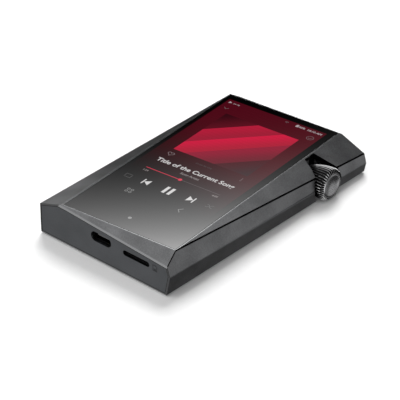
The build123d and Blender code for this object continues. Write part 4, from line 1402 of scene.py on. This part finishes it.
@dataclass
class Studio:
    """Pale floor, soft surroundings, lit panels, one overhead light and the camera."""

    azimuth: float = 41.568
    elevation: float = 32.633
    distance: float = 844.22 * MM
    lens: float = 210.25
    target: Vector = field(default_factory=lambda: Vector((0.418, -4.159, 3.107)) * MM)
    floor_size: float = 6.0
    dark: float = 0.004
    pale: float = 0.30

    def build(self) -> None:
        """Build the camera, the floor, the surroundings and the lights."""
        self.build_camera()
        self.build_floor()
        self.build_world()
        self.build_overhead()
        for card in self.cards():
            card.build()
        bpy.context.scene.view_settings.view_transform = "Standard"

    def build_camera(self) -> None:
        """Camera that looks at the player's near right corner from above."""
        data = bpy.data.cameras.new("camera")
        data.lens = self.lens
        data.clip_start = 0.01
        data.clip_end = 50.0
        camera = bpy.data.objects.new("camera", data)
        back = direction(self.azimuth, self.elevation)
        camera.location = self.target + back * self.distance
        camera.rotation_euler = (-back).to_track_quat("-Z", "Y").to_euler()
        bpy.context.scene.collection.objects.link(camera)
        bpy.context.scene.camera = camera

    def build_floor(self) -> None:
        """Pale matte floor, left out of the metal's reflections."""
        half = self.floor_size / 2
        z = -0.03 * MM
        verts = np.array([(-half, -half, z), (half, -half, z), (half, half, z), (-half, half, z)], float)
        floor = mesh_object("floor", verts, [(0, 1, 2, 3)])
        floor.visible_glossy = False
        finish = Moulded(
            "floor_paper", (0.86, 0.86, 0.86), 0.9, second=(0.85, 0.85, 0.85), grain=3 * MM, depth=0.0
        )
        material = finish.material()
        self.open_below(material)
        floor.data.materials.append(material)

    def open_below(self, material: bpy.types.Material) -> None:
        """Let the underside of a one-sided surface be seen through."""
        tree = material.node_tree
        output = next(node for node in tree.nodes if node.type == "OUTPUT_MATERIAL")
        solid = output.inputs["Surface"].links[0].from_socket
        back = tree.nodes.new("ShaderNodeNewGeometry").outputs["Backfacing"]
        clear = tree.nodes.new("ShaderNodeBsdfTransparent").outputs[0]
        mix = tree.nodes.new("ShaderNodeMixShader")
        for number, socket in enumerate((back, solid, clear)):
            tree.links.new(socket, mix.inputs[number])
        tree.links.new(mix.outputs[0], output.inputs["Surface"])

    def build_world(self) -> None:
        """Surroundings: pale in front, dark behind, with soft glows and one slanted box."""
        world = bpy.data.worlds.new("studio")
        world.use_nodes = True
        bpy.context.scene.world = world
        graph = Graph(world.node_tree)
        view = graph.add("TexCoord").outputs["Generated"]
        middle = tuple(direction(self.azimuth - 20.0, 10.0))
        front = graph.add("VectorMath", {0: view, 1: middle}, operation="DOT_PRODUCT").outputs["Value"]
        total = graph.ramp(front, -0.15, 0.7, self.dark, self.pale)
        for glow in self.glows():
            total = graph.math("ADD", total, glow.light(graph, view))
        total = graph.math("ADD", total, SlantedBox().light(graph, view))
        background = graph.add("Background", {"Strength": total})
        background.inputs["Color"].default_value = (1.0, 1.0, 1.0, 1.0)
        graph.add("OutputWorld", {"Surface": background.outputs[0]})

    def glows(self) -> List[SoftGlow]:
        """Soft round glows of the surroundings."""
        return [
            SoftGlow(131.0, -10.0, 0.88, 14.0, 31.0),
            SoftGlow(-45.0, -33.0, 0.45, 18.0, 45.0),
            SoftGlow(-60.0, 56.0, 1.25, 16.0, 42.0),
            SoftGlow(157.0, -48.0, 0.07, 20.0, 40.0),
            SoftGlow(74.0, -22.0, 2.2, 14.0, 34.0),
            SoftGlow(-91.0, -56.0, 0.75, 8.0, 20.0),
            SoftGlow(-172.0, -28.0, 0.45, 8.0, 28.0),
            SoftGlow(-26.0, -6.0, 0.95, 7.0, 17.0),
        ]

    def cards(self) -> List[Card]:
        """Lit panels whose mirror images lie on the long bevelled faces."""
        return [
            Card("rear_card", (10.0, 82.0, 160.0), (28.0, -20.0, 15.0), (120.0, 90.0), 1.55),
            Card("left_card", (-140.0, -10.0, 30.0), (-24.0, -40.0, 14.0), (110.0, 60.0), 0.75),
        ]

    def build_overhead(self) -> None:
        """Key light above and behind and a broad fill in front, for matte surfaces only."""
        self.soft_disk("key", direction(-147.0, 52.0) * 2.3, 1.25, 46.0)
        self.soft_disk("fill", direction(25.0, 50.0) * 2.5, 3.4, 27.0)

    def soft_disk(self, name: str, place: Vector, size: float, energy: float) -> None:
        """Hang a round light that faces the player and is left out of reflections.

        Args:
            name: its name.
            place: where it hangs.
            size: its diameter in metres.
            energy: its power in watts.
        """
        data = bpy.data.lights.new(name, "AREA")
        data.shape = "DISK"
        data.size = size
        data.energy = energy
        light = bpy.data.objects.new(name, data)
        light.location = place
        light.rotation_euler = (-place).to_track_quat("-Z", "Y").to_euler()
        light.visible_glossy = False
        bpy.context.scene.collection.objects.link(light)


def main() -> None:
    """Build every sub-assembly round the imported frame, in order."""
    logging.basicConfig(level=logging.INFO, format="%(name)s: %(message)s")
    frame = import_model()
    nodes = frame["nodes"]
    Studio().build()
    CaseShell(nodes).build()
    Screen(nodes).build()
    VolumeWheel(nodes).build()
    Fittings(nodes).build()
    PlateGrooveShade(nodes).build()
    CardMark().build()


if __name__ == "__main__":
    main()
